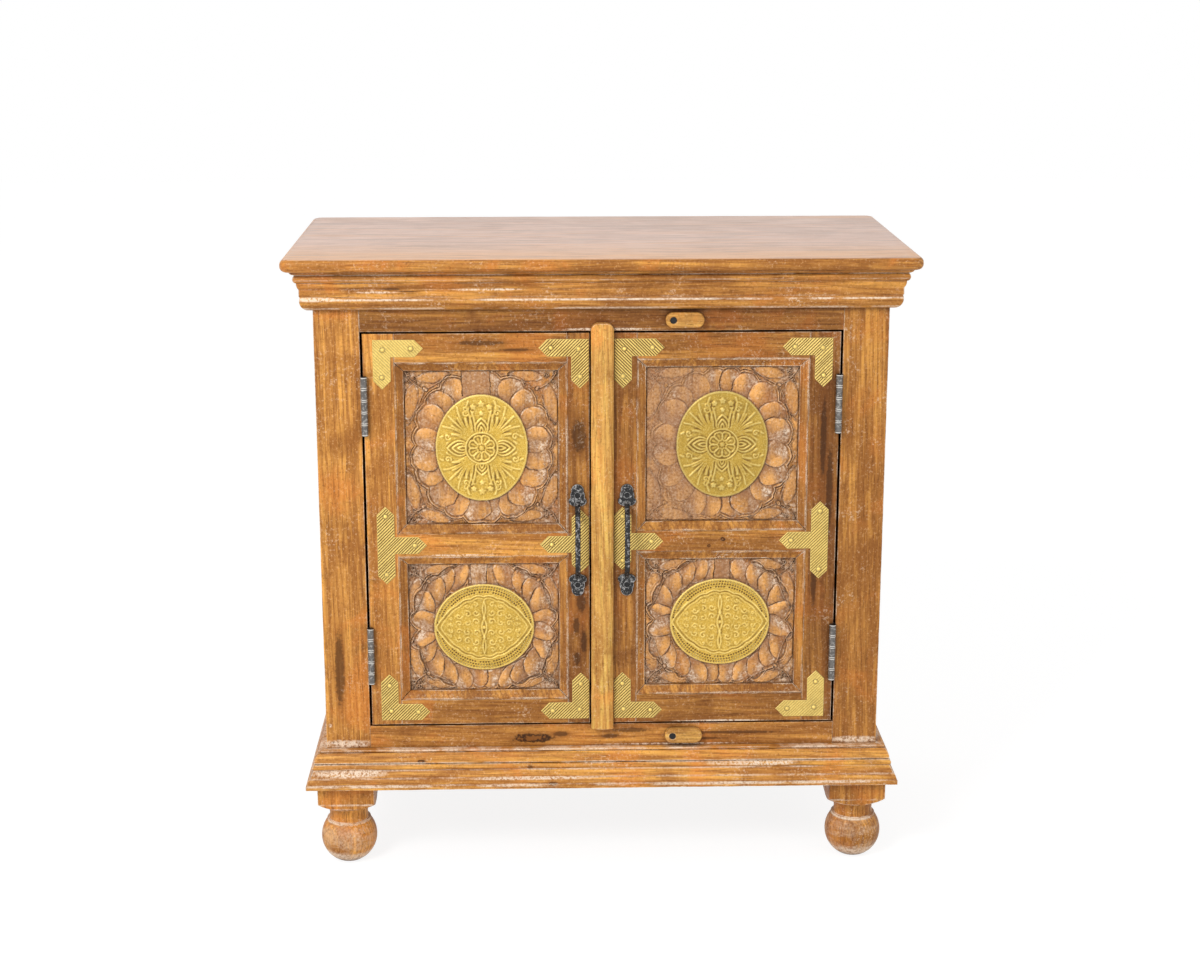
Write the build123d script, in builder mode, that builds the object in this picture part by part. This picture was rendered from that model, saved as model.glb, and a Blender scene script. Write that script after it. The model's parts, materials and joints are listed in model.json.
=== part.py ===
"""Two-door carved cabinet on turned feet, with brass fittings, iron pulls and wooden turn buttons.

X runs to the right, Y to the back and Z up. The doors face -Y, the feet stand on Z = 0, and the origin is
below the centre of the top board. All sizes are in millimetres.
"""

import os
from math import sqrt

from build123d import *

os.makedirs("parts", exist_ok=True)

SIDES = {"left": -1, "right": 1}

# ---------------------------------------------------------------- carcass sizes
BODY_WIDTH = 800.0
BODY_DEPTH = 415.0
BODY_HEIGHT = 755.0
POST_WIDTH = 63.5
POST_DEPTH = 63.5
RAIL_HEIGHT = 88.0
RAIL_THICKNESS = 24.0
TENON_LENGTH = 28.0
TENON_THICKNESS = 10.0
TENON_SHOULDER = 12.0
TENON_ABOVE_DOWEL = 5.0
WALL_THICKNESS = 8.0
WALL_TONGUE = 7.0
JOINERY_CLEARANCE = 0.2
TONGUE_CLEARANCE = 1.0

# ---------------------------------------------------------------- top board
TOP_THICKNESS = 18.0
TOP_OVERHANG = 40.0
TOP_REAR_OVERHANG = 15.0
TOP_CORNER_RADIUS = 14.0
TOP_NOSE_RADIUS = 8.0

# ---------------------------------------------------------------- boards inside
FLOOR_THICKNESS = 18.0
SHELF_THICKNESS = 18.0
SHELF_HEIGHT_ABOVE_FLOOR = 262.0
CLEAT_SIZE = 20.0
BOARD_CLEARANCE = 0.5
DOOR_STOP_CLEARANCE = 1.0

# ---------------------------------------------------------------- cornice, from its lower edge up
CORNICE_BEAD_HEIGHT = 19.0
CORNICE_BEAD_FOOT = 7.5
CORNICE_FLAT_HEIGHT = 11.0
CORNICE_COVE_HEIGHT = 9.5
CORNICE_ROLL_HEIGHT = 10.5
CORNICE_LIP_HEIGHT = 6.0
CORNICE_FLAT_OUT = 16.5
CORNICE_COVE_OUT = 19.3
CORNICE_ROLL_OUT = 23.8
CORNICE_LIP_OUT = 27.5
CORNICE_QUIRK = 1.2

# ---------------------------------------------------------------- plinth, from its lower edge up
PLINTH_BASE_HEIGHT = 7.0
PLINTH_OGEE_HEIGHT = 20.0
PLINTH_BEAD_HEIGHT = 9.0
PLINTH_OVOLO_HEIGHT = 15.0
PLINTH_FILLET_HEIGHT = 4.0
PLINTH_BASE_OUT = 29.5
PLINTH_WAIST_OUT = 18.3
PLINTH_BEAD_OUT = 20.8
PLINTH_NOTCH_OUT = 14.8
PLINTH_OVOLO_OUT = 18.2
PLINTH_TOP_OUT = 11.5
PLINTH_QUIRK = 1.5

# ---------------------------------------------------------------- turned feet
FOOT_HEIGHT = 127.0
FOOT_SIZE = 82.0
FOOT_INSET = 15.0
BALL_RADIUS = 40.8
BALL_CENTRE_HEIGHT = 37.0
COLLAR_RADIUS = 32.0
COLLAR_HEIGHT = 2.2
NECK_RADIUS = 29.0
NECK_COVE = 1.8
NECK_TOP_HEIGHT = 86.5
POMMEL_HEIGHT = 13.5
FOOT_DOWEL_RADIUS = 12.0
FOOT_DOWEL_LENGTH = 25.0

# ---------------------------------------------------------------- doors
DOOR_THICKNESS = 22.0
DOOR_PROUD = 0.4
DOOR_END_GAP = 2.5
HINGE_STILE_WIDTH = 43.0
MEETING_EDGE_X = {"left": 18.0, "right": -15.0}
PANEL_EDGE_X = 49.0
DOOR_TOP_RAIL = {"left": 41.0, "right": 37.0}
DOOR_MID_RAIL = {"left": 33.5, "right": 30.5}
DOOR_BOTTOM_RAIL = {"left": 37.0, "right": 42.5}
LOWER_OPENING = {"left": 215.5, "right": 215.0}
DOOR_TENON_LENGTH = 20.0
DOOR_TENON_THICKNESS = 7.0
DOOR_TENON_SHOULDER = 8.0
PANEL_DEPTH = 9.0
PANEL_THICKNESS = 8.0
PANEL_TONGUE = 7.0
FIELD_RISE = 2.5
FIELD_GAP = 0.4
MOULDING_WIDTH = 12.5
MOULDING_RISE = 8.7
MOULDING_LIP = 3.5
MITRE_GAP = 0.4

# ---------------------------------------------------------------- brass
MEDALLION_SIZE = {"upper": (130.0, 154.0), "lower": (144.0, 129.5)}
MEDALLION_EDGE = 1.2
MEDALLION_RISE = 2.6
MEDALLION_SHOULDER = 9.0
PLATE_THICKNESS = 1.0
PLATE_WIDTH = 24.5
PLATE_LEG = 70.0
PLATE_TAPER = 12.0
PLATE_HINGE_MARGIN = {"left": 14.0, "right": 11.0}
PLATE_TOP_MARGIN = 8.5
PLATE_BOTTOM_MARGIN = 6.5
PLATE_MEETING_MARGIN = 0.7
TEE_HALF_HEIGHT = 57.0
TEE_UPPER_REACH = 51.0
TEE_LOWER_REACH = 42.0
NAIL_HEAD_RADIUS = 3.0
NAIL_HEAD_RISE = 2.0
NAIL_SHANK_RADIUS = 0.8
NAIL_LENGTH = 12.0
NAIL_INSET = 14.0
NAIL_TIP_INSET = 17.0
FASTENER_CLEARANCE = 0.1

# ---------------------------------------------------------------- astragal
ASTRAGAL_WIDTH = 32.0
ASTRAGAL_THICKNESS = 14.0
ASTRAGAL_EDGE = 8.5
ASTRAGAL_BEVEL = 2.5
ASTRAGAL_TOP_LAP = 12.5
ASTRAGAL_BOTTOM_LAP = 4.0
ASTRAGAL_TOP_RADIUS = 11.0
ASTRAGAL_BOTTOM_RADIUS = 15.5

# ---------------------------------------------------------------- butt hinges
HINGE_LENGTH = 84.0
HINGE_TOP_MARGIN = 59.5
HINGE_BOTTOM_MARGIN = 64.0
KNUCKLES = 5
KNUCKLE_GAP = 0.4
BARREL_RADIUS = 4.75
BARREL_CLEARANCE = 0.4
LEAF_THICKNESS = 1.5
LEAF_CLEARANCE = 0.5
LEAF_DEPTH = 18.0
PIN_RADIUS = 2.5
PIN_CLEARANCE = 0.05
HINGE_SCREWS = 3
HINGE_SCREW_SPACING = 28.0
HINGE_SCREW_LENGTH = 18.0
HINGE_SCREW_RADIUS = 1.6
HINGE_SCREW_HEAD = 2.9

# ---------------------------------------------------------------- iron pulls
PULL_X = 35.0
PULL_HOLE_SPACING = 132.0
PULL_CENTRE_ABOVE_DOOR_FOOT = 275.5
PULL_PLATE_THICKNESS = 3.0
PULL_LOBE_RADIUS = 8.5
PULL_LOBE_RISE = 7.5
PULL_EYE_RADIUS = 10.0
PULL_SHOULDER = (12.6, 7.5)
PULL_SHOULDER_DROP = 8.5
PULL_BAR_WIDTH = 7.7
PULL_BAR_THICKNESS = 6.0
PULL_BAR_ROUNDING = 2.4
PULL_STANDOFF = 24.0
PULL_BAR_SET_IN = 11.0
PULL_BAR_RISE_LENGTH = 18.0
PULL_BEND_RADIUS = 14.0
PULL_SCREW_RADIUS = 2.2
PULL_SCREW_HEAD = 4.0
PULL_SCREW_LENGTH = 19.0
PULL_SCREW_SUNK = 1.0

# ---------------------------------------------------------------- turn buttons
BUTTON_LENGTH = 54.0
BUTTON_WIDTH = 22.0
BUTTON_THICKNESS = 9.0
BUTTON_ROUNDING = 2.5
BUTTON_PIVOT_X = {"top": 98.5, "bottom": 102.0}
BUTTON_STANDOFF = 1.9
BUTTON_BOSS_RADIUS = 8.0
BUTTON_SEAT_GAP = 0.3
BUTTON_SCREW_RADIUS = 2.4
BUTTON_SCREW_HEAD = 4.6
BUTTON_SCREW_SUNK = 1.6
BUTTON_SCREW_LENGTH = 30.0
BUTTON_PIVOT_CLEARANCE = 0.05
BUTTON_HEAD_CLEARANCE = 0.3

# ---------------------------------------------------------------- derived places
TOP_DEPTH = BODY_DEPTH + TOP_OVERHANG + TOP_REAR_OVERHANG
FRONT = -TOP_DEPTH / 2 + TOP_OVERHANG
REAR = FRONT + BODY_DEPTH
HALF_BODY = BODY_WIDTH / 2
HALF_OPENING = HALF_BODY - POST_WIDTH
BODY_BOTTOM = FOOT_HEIGHT
BODY_TOP = BODY_BOTTOM + BODY_HEIGHT
OPENING_BOTTOM = BODY_BOTTOM + RAIL_HEIGHT
OPENING_TOP = BODY_TOP - RAIL_HEIGHT
CORNICE_ROLL_FOOT = CORNICE_BEAD_HEIGHT + CORNICE_FLAT_HEIGHT + CORNICE_COVE_HEIGHT
CORNICE_HEIGHT = CORNICE_ROLL_FOOT + CORNICE_ROLL_HEIGHT + CORNICE_LIP_HEIGHT
PLINTH_HEIGHT = (
    PLINTH_BASE_HEIGHT + PLINTH_OGEE_HEIGHT + PLINTH_BEAD_HEIGHT + PLINTH_OVOLO_HEIGHT + PLINTH_FILLET_HEIGHT
)
WALL_INSET = (RAIL_THICKNESS - WALL_THICKNESS) / 2
WALL_INNER_X = HALF_BODY - RAIL_THICKNESS + WALL_INSET
RAIL_INNER_X = HALF_BODY - RAIL_THICKNESS
FRONT_POST_BACK = FRONT + POST_DEPTH
REAR_POST_FRONT = REAR - POST_DEPTH

SIDE_GAP = 2 * LEAF_THICKNESS + LEAF_CLEARANCE
HINGE_EDGE_X = HALF_OPENING - SIDE_GAP
HINGE_AXIS_X = HALF_OPENING - BARREL_RADIUS
DOOR_FACE = FRONT - DOOR_PROUD
DOOR_BACK = DOOR_FACE + DOOR_THICKNESS
HINGE_AXIS_Y = DOOR_FACE - BARREL_RADIUS - BARREL_CLEARANCE
DOOR_BOTTOM = OPENING_BOTTOM + DOOR_END_GAP
DOOR_TOP = OPENING_TOP - DOOR_END_GAP
HINGE_CENTRES = (
    DOOR_BOTTOM + HINGE_BOTTOM_MARGIN + HINGE_LENGTH / 2,
    DOOR_TOP - HINGE_TOP_MARGIN - HINGE_LENGTH / 2,
)
HINGE_SCREW_Y = FRONT + LEAF_DEPTH / 2
STILE_INNER_X = HINGE_EDGE_X - HINGE_STILE_WIDTH
PANEL_CENTRE_X = (STILE_INNER_X + PANEL_EDGE_X) / 2
GROOVE_DEPTH = PANEL_TONGUE + TONGUE_CLEARANCE
PULL_CENTRE_Z = DOOR_BOTTOM + PULL_CENTRE_ABOVE_DOOR_FOOT
BUTTON_PIVOT_Z = {
    "top": (OPENING_TOP + BODY_TOP - CORNICE_HEIGHT) / 2,
    "bottom": (OPENING_BOTTOM + BODY_BOTTOM + PLINTH_HEIGHT) / 2,
}
FLOOR_TOP = OPENING_BOTTOM
SHELF_TOP = FLOOR_TOP + SHELF_HEIGHT_ABOVE_FLOOR + SHELF_THICKNESS


# ---------------------------------------------------------------- helpers
def save(builder, label):
    """Labels a finished piece and writes it as its own STEP file."""
    builder.part.label = label
    export_step(builder.part, f"parts/{label}.step")


def block(low, high, mode=Mode.ADD):
    """Adds, or takes away, the box between two opposite corners."""
    centre = [(a + b) / 2 for a, b in zip(low, high)]
    with Locations(tuple(centre)):
        Box(*(b - a for a, b in zip(low, high)), mode=mode)


def across(side, x_near, x_far, y_range, z_range):
    """Corners of a box between two distances from the middle plane, on the side given by its sign."""
    xs = sorted((side * x_near, side * x_far))
    return (xs[0], y_range[0], z_range[0]), (xs[1], y_range[1], z_range[1])


def grown(corners, gap):
    """The same box, larger by a gap on every face."""
    low, high = corners
    return tuple(a - gap for a in low), tuple(b + gap for b in high)


def facing(depth_in, x=0.0, z=0.0):
    """A plane parallel to the cabinet's face, looking out of it, at a depth behind the carcass front."""
    return Plane(origin=(x, FRONT + depth_in, z), x_dir=(1, 0, 0), z_dir=(0, -1, 0))


def mitred_strip(place, length, section, start, end):
    """A moulding along place.x_dir, with its width on place.y_dir and its height on place.z_dir.

    start and end say how each end is cut: 1 for an outside mitre, -1 for an inside mitre, 0 for square.
    Inside mitres stop half a mitre gap short of the corner's diagonal.
    """
    across_run = Plane(origin=place.origin, x_dir=place.y_dir, z_dir=place.x_dir)
    with BuildPart() as strip:
        with BuildSketch(across_run.offset(-length)):
            section()
        extrude(amount=3 * length)
        slack = {1: 0.0, 0: 0.0, -1: MITRE_GAP / 2 * sqrt(2)}
        first = place.origin + place.x_dir * slack[start]
        last = place.origin + place.x_dir * (length - slack[end])
        split(bisect_by=Plane(origin=first, z_dir=place.x_dir + place.y_dir * start), keep=Keep.TOP)
        split(bisect_by=Plane(origin=last, z_dir=place.y_dir * end - place.x_dir), keep=Keep.TOP)
    return strip.part


def sunk_screw(place, shank, head, length, grow=0.0, mode=Mode.ADD):
    """A countersunk screw, driven in against place.z_dir, with its head flush with the plane."""
    with Locations(place):
        Cylinder(shank + grow, length, align=(Align.CENTER, Align.CENTER, Align.MAX), mode=mode)
        Cone(
            shank + grow,
            head + grow,
            head - shank,
            align=(Align.CENTER, Align.CENTER, Align.MAX),
            mode=mode,
        )


# ---------------------------------------------------------------- carcass joints
def rail_levels():
    """Height range of the lower and the upper rails."""
    return {"lower": (BODY_BOTTOM, OPENING_BOTTOM), "upper": (OPENING_TOP, BODY_TOP)}


def tenon_levels():
    """Height range of the rails' tenons, the lower ones clear of the feet's dowels."""
    above_dowel = BODY_BOTTOM + FOOT_DOWEL_LENGTH + TENON_ABOVE_DOWEL
    return {
        "lower": (above_dowel, OPENING_BOTTOM - TENON_SHOULDER),
        "upper": (OPENING_TOP + TENON_SHOULDER, BODY_TOP - TENON_SHOULDER),
    }


def cross_rail_y(end):
    """Depth range of the rails that run from the left to the right."""
    return (FRONT, FRONT + RAIL_THICKNESS) if end == "front" else (REAR - RAIL_THICKNESS, REAR)


def cross_tenon(side, end, level):
    """Tenon of a front or rear rail in the post on one side."""
    y_low, y_high = cross_rail_y(end)
    cheek = (y_high - y_low - TENON_THICKNESS) / 2
    return across(
        side,
        HALF_OPENING,
        HALF_OPENING + TENON_LENGTH,
        (y_low + cheek, y_high - cheek),
        tenon_levels()[level],
    )


def side_tenon(side, end, level):
    """Tenon of a side rail in the front or the rear post."""
    cheek = (RAIL_THICKNESS - TENON_THICKNESS) / 2
    y_range = {
        "front": (FRONT_POST_BACK - TENON_LENGTH, FRONT_POST_BACK),
        "rear": (REAR_POST_FRONT, REAR_POST_FRONT + TENON_LENGTH),
    }[end]
    return across(side, RAIL_INNER_X + cheek, HALF_BODY - cheek, y_range, tenon_levels()[level])


def side_wall(side, tongue):
    """Corners of a side panel whose edges stand a tongue into its grooves."""
    return across(
        side,
        WALL_INNER_X,
        WALL_INNER_X + WALL_THICKNESS,
        (FRONT_POST_BACK - tongue, REAR_POST_FRONT + tongue),
        (OPENING_BOTTOM - tongue, OPENING_TOP + tongue),
    )


def back_wall(tongue):
    """Corners of the back panel whose edges stand a tongue into its grooves."""
    y_low = REAR - RAIL_THICKNESS + WALL_INSET
    return (
        (-HALF_OPENING - tongue, y_low, OPENING_BOTTOM - tongue),
        (HALF_OPENING + tongue, y_low + WALL_THICKNESS, OPENING_TOP + tongue),
    )


def wall_grooves():
    """Cuts the grooves of the side and back panels into whichever post or rail is being built."""
    for side in SIDES.values():
        block(*groove_of(side_wall(side, WALL_TONGUE)), mode=Mode.SUBTRACT)
    block(*groove_of(back_wall(WALL_TONGUE)), mode=Mode.SUBTRACT)


def groove_of(corners):
    """A wall panel's box with room round its edges and a sliding fit on its faces."""
    low, high = corners
    thin = min(range(3), key=lambda i: high[i] - low[i])
    gaps = [JOINERY_CLEARANCE if i == thin else TONGUE_CLEARANCE for i in range(3)]
    return (
        tuple(a - gap for a, gap in zip(low, gaps)),
        tuple(b + gap for b, gap in zip(high, gaps)),
    )


def hinge_screw_places(side, inward):
    """Planes of the hinge screws, on the post's edge (inward False) or on the door's edge (inward True)."""
    surface = HINGE_EDGE_X + LEAF_THICKNESS if inward else HALF_OPENING - LEAF_THICKNESS
    outward = side if inward else -side
    places = []
    for centre in HINGE_CENTRES:
        for n in range(HINGE_SCREWS):
            z = centre + (n - (HINGE_SCREWS - 1) / 2) * HINGE_SCREW_SPACING
            places.append(
                Plane(origin=(side * surface, HINGE_SCREW_Y, z), x_dir=(0, 0, 1), z_dir=(outward, 0, 0))
            )
    return places


def hinge_screws(side, inward, grow=0.0, mode=Mode.ADD):
    """All the screws of one side's hinge leaves, or the holes that take them."""
    for place in hinge_screw_places(side, inward):
        sunk_screw(place, HINGE_SCREW_RADIUS, HINGE_SCREW_HEAD, HINGE_SCREW_LENGTH, grow, mode)


def button_screw_place(level):
    """Plane of a turn button's screw head, sunk below the button's face."""
    depth = BUTTON_STANDOFF + BUTTON_THICKNESS - BUTTON_SCREW_SUNK
    return facing(-depth, BUTTON_PIVOT_X[level], BUTTON_PIVOT_Z[level])


def button_screw(level, grow=0.0, mode=Mode.ADD):
    """The screw that a turn button turns on, or the hole in the rail that takes it."""
    sunk_screw(
        button_screw_place(level), BUTTON_SCREW_RADIUS, BUTTON_SCREW_HEAD, BUTTON_SCREW_LENGTH, grow, mode
    )


# ---------------------------------------------------------------- posts, rails and walls
def foot_centre(side, end):
    """Place of a foot's axis under its post, the rear ones flush with the carcass's back."""
    inset = FOOT_INSET - PLINTH_BASE_OUT + FOOT_SIZE / 2
    return side * (HALF_BODY - inset), (FRONT + inset if end == "front" else REAR - FOOT_SIZE / 2)


def post(side, end):
    """Corner post with mortises, grooves and the hole for the foot's dowel."""
    with BuildPart() as piece:
        y_range = (FRONT, FRONT_POST_BACK) if end == "front" else (REAR_POST_FRONT, REAR)
        block(*across(side, HALF_OPENING, HALF_BODY, y_range, (BODY_BOTTOM, BODY_TOP)))
        for level in rail_levels():
            block(*grown(cross_tenon(side, end, level), JOINERY_CLEARANCE), mode=Mode.SUBTRACT)
            block(*grown(side_tenon(side, end, level), JOINERY_CLEARANCE), mode=Mode.SUBTRACT)
        wall_grooves()
        with BuildSketch(Plane.XY.offset(BODY_BOTTOM)):
            with Locations(foot_centre(side, end)):
                Circle(FOOT_DOWEL_RADIUS + JOINERY_CLEARANCE)
        extrude(amount=FOOT_DOWEL_LENGTH + TONGUE_CLEARANCE, mode=Mode.SUBTRACT)
        if end == "front":
            hinge_screws(side, inward=False, grow=FASTENER_CLEARANCE, mode=Mode.SUBTRACT)
    return piece


for side_name, side in SIDES.items():
    for end in ("front", "rear"):
        corner_post = post(side, end)
        save(corner_post, f"{end}_{side_name}_post")


def cross_rail(end, level):
    """Rail from the left post to the right one, tenoned at both ends."""
    z_low, z_high = rail_levels()[level]
    y_low, y_high = cross_rail_y(end)
    block((-HALF_OPENING, y_low, z_low), (HALF_OPENING, y_high, z_high))
    for side in SIDES.values():
        block(*cross_tenon(side, end, level))
    block(*groove_of(back_wall(WALL_TONGUE)), mode=Mode.SUBTRACT)


with BuildPart() as front_top_rail:
    cross_rail("front", "upper")
    button_screw("top", FASTENER_CLEARANCE, Mode.SUBTRACT)
save(front_top_rail, "front_top_rail")

with BuildPart() as front_bottom_rail:
    cross_rail("front", "lower")
    button_screw("bottom", FASTENER_CLEARANCE, Mode.SUBTRACT)
save(front_bottom_rail, "front_bottom_rail")

with BuildPart() as rear_rails:
    cross_rail("rear", "upper")
    cross_rail("rear", "lower")
save(rear_rails, "rear_rails")

for side_name, side in SIDES.items():
    with BuildPart() as side_rails:
        for level, z_range in rail_levels().items():
            block(*across(side, RAIL_INNER_X, HALF_BODY, (FRONT_POST_BACK, REAR_POST_FRONT), z_range))
            for end in ("front", "rear"):
                block(*side_tenon(side, end, level))
        wall_grooves()
    save(side_rails, f"{side_name}_side_rails")

    with BuildPart() as side_panel:
        block(*side_wall(side, WALL_TONGUE))
    save(side_panel, f"{side_name}_side_panel")

with BuildPart() as back_panel:
    block(*back_wall(WALL_TONGUE))
save(back_panel, "back_panel")


# ---------------------------------------------------------------- floor, shelf and cleats
def inner_board(front_y, top_z, thickness):
    """Board that fills the inside and is notched round the posts."""
    rear_y = REAR - RAIL_THICKNESS - BOARD_CLEARANCE
    z_range = (top_z - thickness, top_z)
    narrow = HALF_OPENING - BOARD_CLEARANCE
    wide = RAIL_INNER_X - BOARD_CLEARANCE
    block((-narrow, front_y, z_range[0]), (narrow, rear_y, z_range[1]))
    block(
        (-wide, FRONT_POST_BACK + BOARD_CLEARANCE, z_range[0]),
        (wide, REAR_POST_FRONT - BOARD_CLEARANCE, z_range[1]),
    )


with BuildPart() as floor_board:
    inner_board(FRONT + RAIL_THICKNESS + BOARD_CLEARANCE, FLOOR_TOP, FLOOR_THICKNESS)
save(floor_board, "floor_board")

with BuildPart() as shelf:
    inner_board(DOOR_BACK + DOOR_STOP_CLEARANCE, SHELF_TOP, SHELF_THICKNESS)
save(shelf, "shelf")

with BuildPart() as shelf_cleats:
    for side in SIDES.values():
        y_range = (FRONT_POST_BACK, REAR_POST_FRONT)
        shelf_bottom = SHELF_TOP - SHELF_THICKNESS
        floor_bottom = FLOOR_TOP - FLOOR_THICKNESS
        cleat_x = WALL_INNER_X - CLEAT_SIZE
        block(*across(side, cleat_x, WALL_INNER_X, y_range, (shelf_bottom - CLEAT_SIZE, shelf_bottom)))
        cleat_x = RAIL_INNER_X - CLEAT_SIZE
        block(*across(side, cleat_x, RAIL_INNER_X, y_range, (floor_bottom - CLEAT_SIZE, floor_bottom)))
save(shelf_cleats, "shelf_cleats")

# ---------------------------------------------------------------- top board
with BuildPart() as top_board:
    with BuildSketch(Plane.XY.offset(BODY_TOP)):
        RectangleRounded(BODY_WIDTH + 2 * TOP_OVERHANG, TOP_DEPTH, TOP_CORNER_RADIUS)
    extrude(amount=TOP_THICKNESS)
    rims = top_board.faces().filter_by(Axis.Z).edges()
    fillet(rims, radius=min(TOP_NOSE_RADIUS, TOP_THICKNESS / 2.1))
save(top_board, "top_board")


# ---------------------------------------------------------------- cornice and plinth
def cornice_section():
    """Half-round bead, flat, cove, small roll and flared lip, from the lower edge up."""
    quirk = CORNICE_QUIRK
    bead_top = (CORNICE_FLAT_OUT - quirk, CORNICE_BEAD_HEIGHT)
    cove_bottom = (CORNICE_FLAT_OUT, CORNICE_BEAD_HEIGHT + CORNICE_FLAT_HEIGHT)
    cove_top = (CORNICE_COVE_OUT, CORNICE_ROLL_FOOT)
    roll_bottom = (CORNICE_COVE_OUT + quirk, CORNICE_ROLL_FOOT)
    roll_top = (CORNICE_ROLL_OUT - 1.5 * quirk, CORNICE_ROLL_FOOT + CORNICE_ROLL_HEIGHT)
    lip_foot = (roll_top[0] - quirk / 2, roll_top[1] + quirk / 2)
    lip_edge = (CORNICE_LIP_OUT, CORNICE_HEIGHT - 1.5 * quirk)
    with BuildLine() as outline:
        ThreePointArc(
            (CORNICE_BEAD_FOOT, 0),
            (CORNICE_FLAT_OUT - quirk / 2, CORNICE_BEAD_HEIGHT * 0.55),
            bead_top,
        )
        Polyline(bead_top, (CORNICE_FLAT_OUT, bead_top[1] + quirk), cove_bottom)
        RadiusArc(cove_bottom, cove_top, radius=-1.4 * CORNICE_COVE_HEIGHT)
        Line(cove_top, roll_bottom)
        ThreePointArc(
            roll_bottom,
            (CORNICE_ROLL_OUT, CORNICE_ROLL_FOOT + CORNICE_ROLL_HEIGHT * 0.55),
            roll_top,
        )
        Line(roll_top, lip_foot)
        RadiusArc(lip_foot, lip_edge, radius=-1.6 * CORNICE_LIP_HEIGHT)
        Polyline(
            lip_edge,
            (CORNICE_LIP_OUT, CORNICE_HEIGHT),
            (0, CORNICE_HEIGHT),
            (0, 0),
            (CORNICE_BEAD_FOOT, 0),
        )
    make_face(outline.edges())


def plinth_section():
    """Base fillet, ogee, small bead, ovolo and top fillet, from the lower edge up."""
    ogee_bottom = PLINTH_BASE_HEIGHT
    ogee_middle = ogee_bottom + PLINTH_OGEE_HEIGHT * 0.45
    ogee_top = ogee_bottom + PLINTH_OGEE_HEIGHT
    bead_top = ogee_top + PLINTH_BEAD_HEIGHT
    notch_low, notch_high = bead_top - PLINTH_QUIRK / 2, bead_top + PLINTH_QUIRK / 2
    ovolo_top = bead_top + PLINTH_OVOLO_HEIGHT
    base, waist, top = PLINTH_BASE_OUT, PLINTH_WAIST_OUT, PLINTH_TOP_OUT
    shoulder = base - PLINTH_QUIRK
    middle = (base + waist) / 2
    with BuildLine() as outline:
        Polyline((0, 0), (base, 0), (base, ogee_bottom), (shoulder, ogee_bottom))
        ThreePointArc(
            (shoulder, ogee_bottom),
            (shoulder - 0.3 * PLINTH_QUIRK, (ogee_bottom + ogee_middle) / 2),
            (middle + PLINTH_QUIRK, ogee_middle),
        )
        Line((middle + PLINTH_QUIRK, ogee_middle), (middle, ogee_middle))
        RadiusArc((middle, ogee_middle), (waist, ogee_top), radius=-1.4 * PLINTH_OGEE_HEIGHT)
        ThreePointArc(
            (waist, ogee_top),
            (PLINTH_BEAD_OUT, (ogee_top + notch_low) / 2),
            (PLINTH_NOTCH_OUT, notch_low),
        )
        Polyline(
            (PLINTH_NOTCH_OUT, notch_low),
            (PLINTH_NOTCH_OUT, notch_high),
            (PLINTH_OVOLO_OUT, notch_high),
        )
        ThreePointArc(
            (PLINTH_OVOLO_OUT, notch_high),
            (PLINTH_OVOLO_OUT - 0.8 * PLINTH_QUIRK, bead_top + 0.55 * PLINTH_OVOLO_HEIGHT),
            (top + PLINTH_QUIRK / 2, ovolo_top),
        )
        Polyline(
            (top + PLINTH_QUIRK / 2, ovolo_top),
            (top - PLINTH_QUIRK, ovolo_top),
            (top, ovolo_top + PLINTH_QUIRK),
            (top, PLINTH_HEIGHT),
            (0, PLINTH_HEIGHT),
            (0, 0),
        )
    make_face(outline.edges())


def girdle(name, section, bottom):
    """The front and the two side lengths of a moulding that wraps the carcass at a height."""
    front_place = Plane(origin=(HALF_BODY, FRONT, bottom), x_dir=(-1, 0, 0), z_dir=(0, 0, 1))
    with BuildPart() as front:
        add(mitred_strip(front_place, BODY_WIDTH, section, 1, 1))
    save(front, f"{name}_front")

    right_place = Plane(origin=(HALF_BODY, REAR, bottom), x_dir=(0, -1, 0), z_dir=(0, 0, 1))
    left_place = Plane(origin=(-HALF_BODY, FRONT, bottom), x_dir=(0, 1, 0), z_dir=(0, 0, 1))
    with BuildPart() as both_sides:
        add(mitred_strip(right_place, BODY_DEPTH, section, 0, 1))
        add(mitred_strip(left_place, BODY_DEPTH, section, 1, 0))
    save(both_sides, f"{name}_sides")


girdle("cornice", cornice_section, BODY_TOP - CORNICE_HEIGHT)
girdle("plinth", plinth_section, BODY_BOTTOM)


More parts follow.
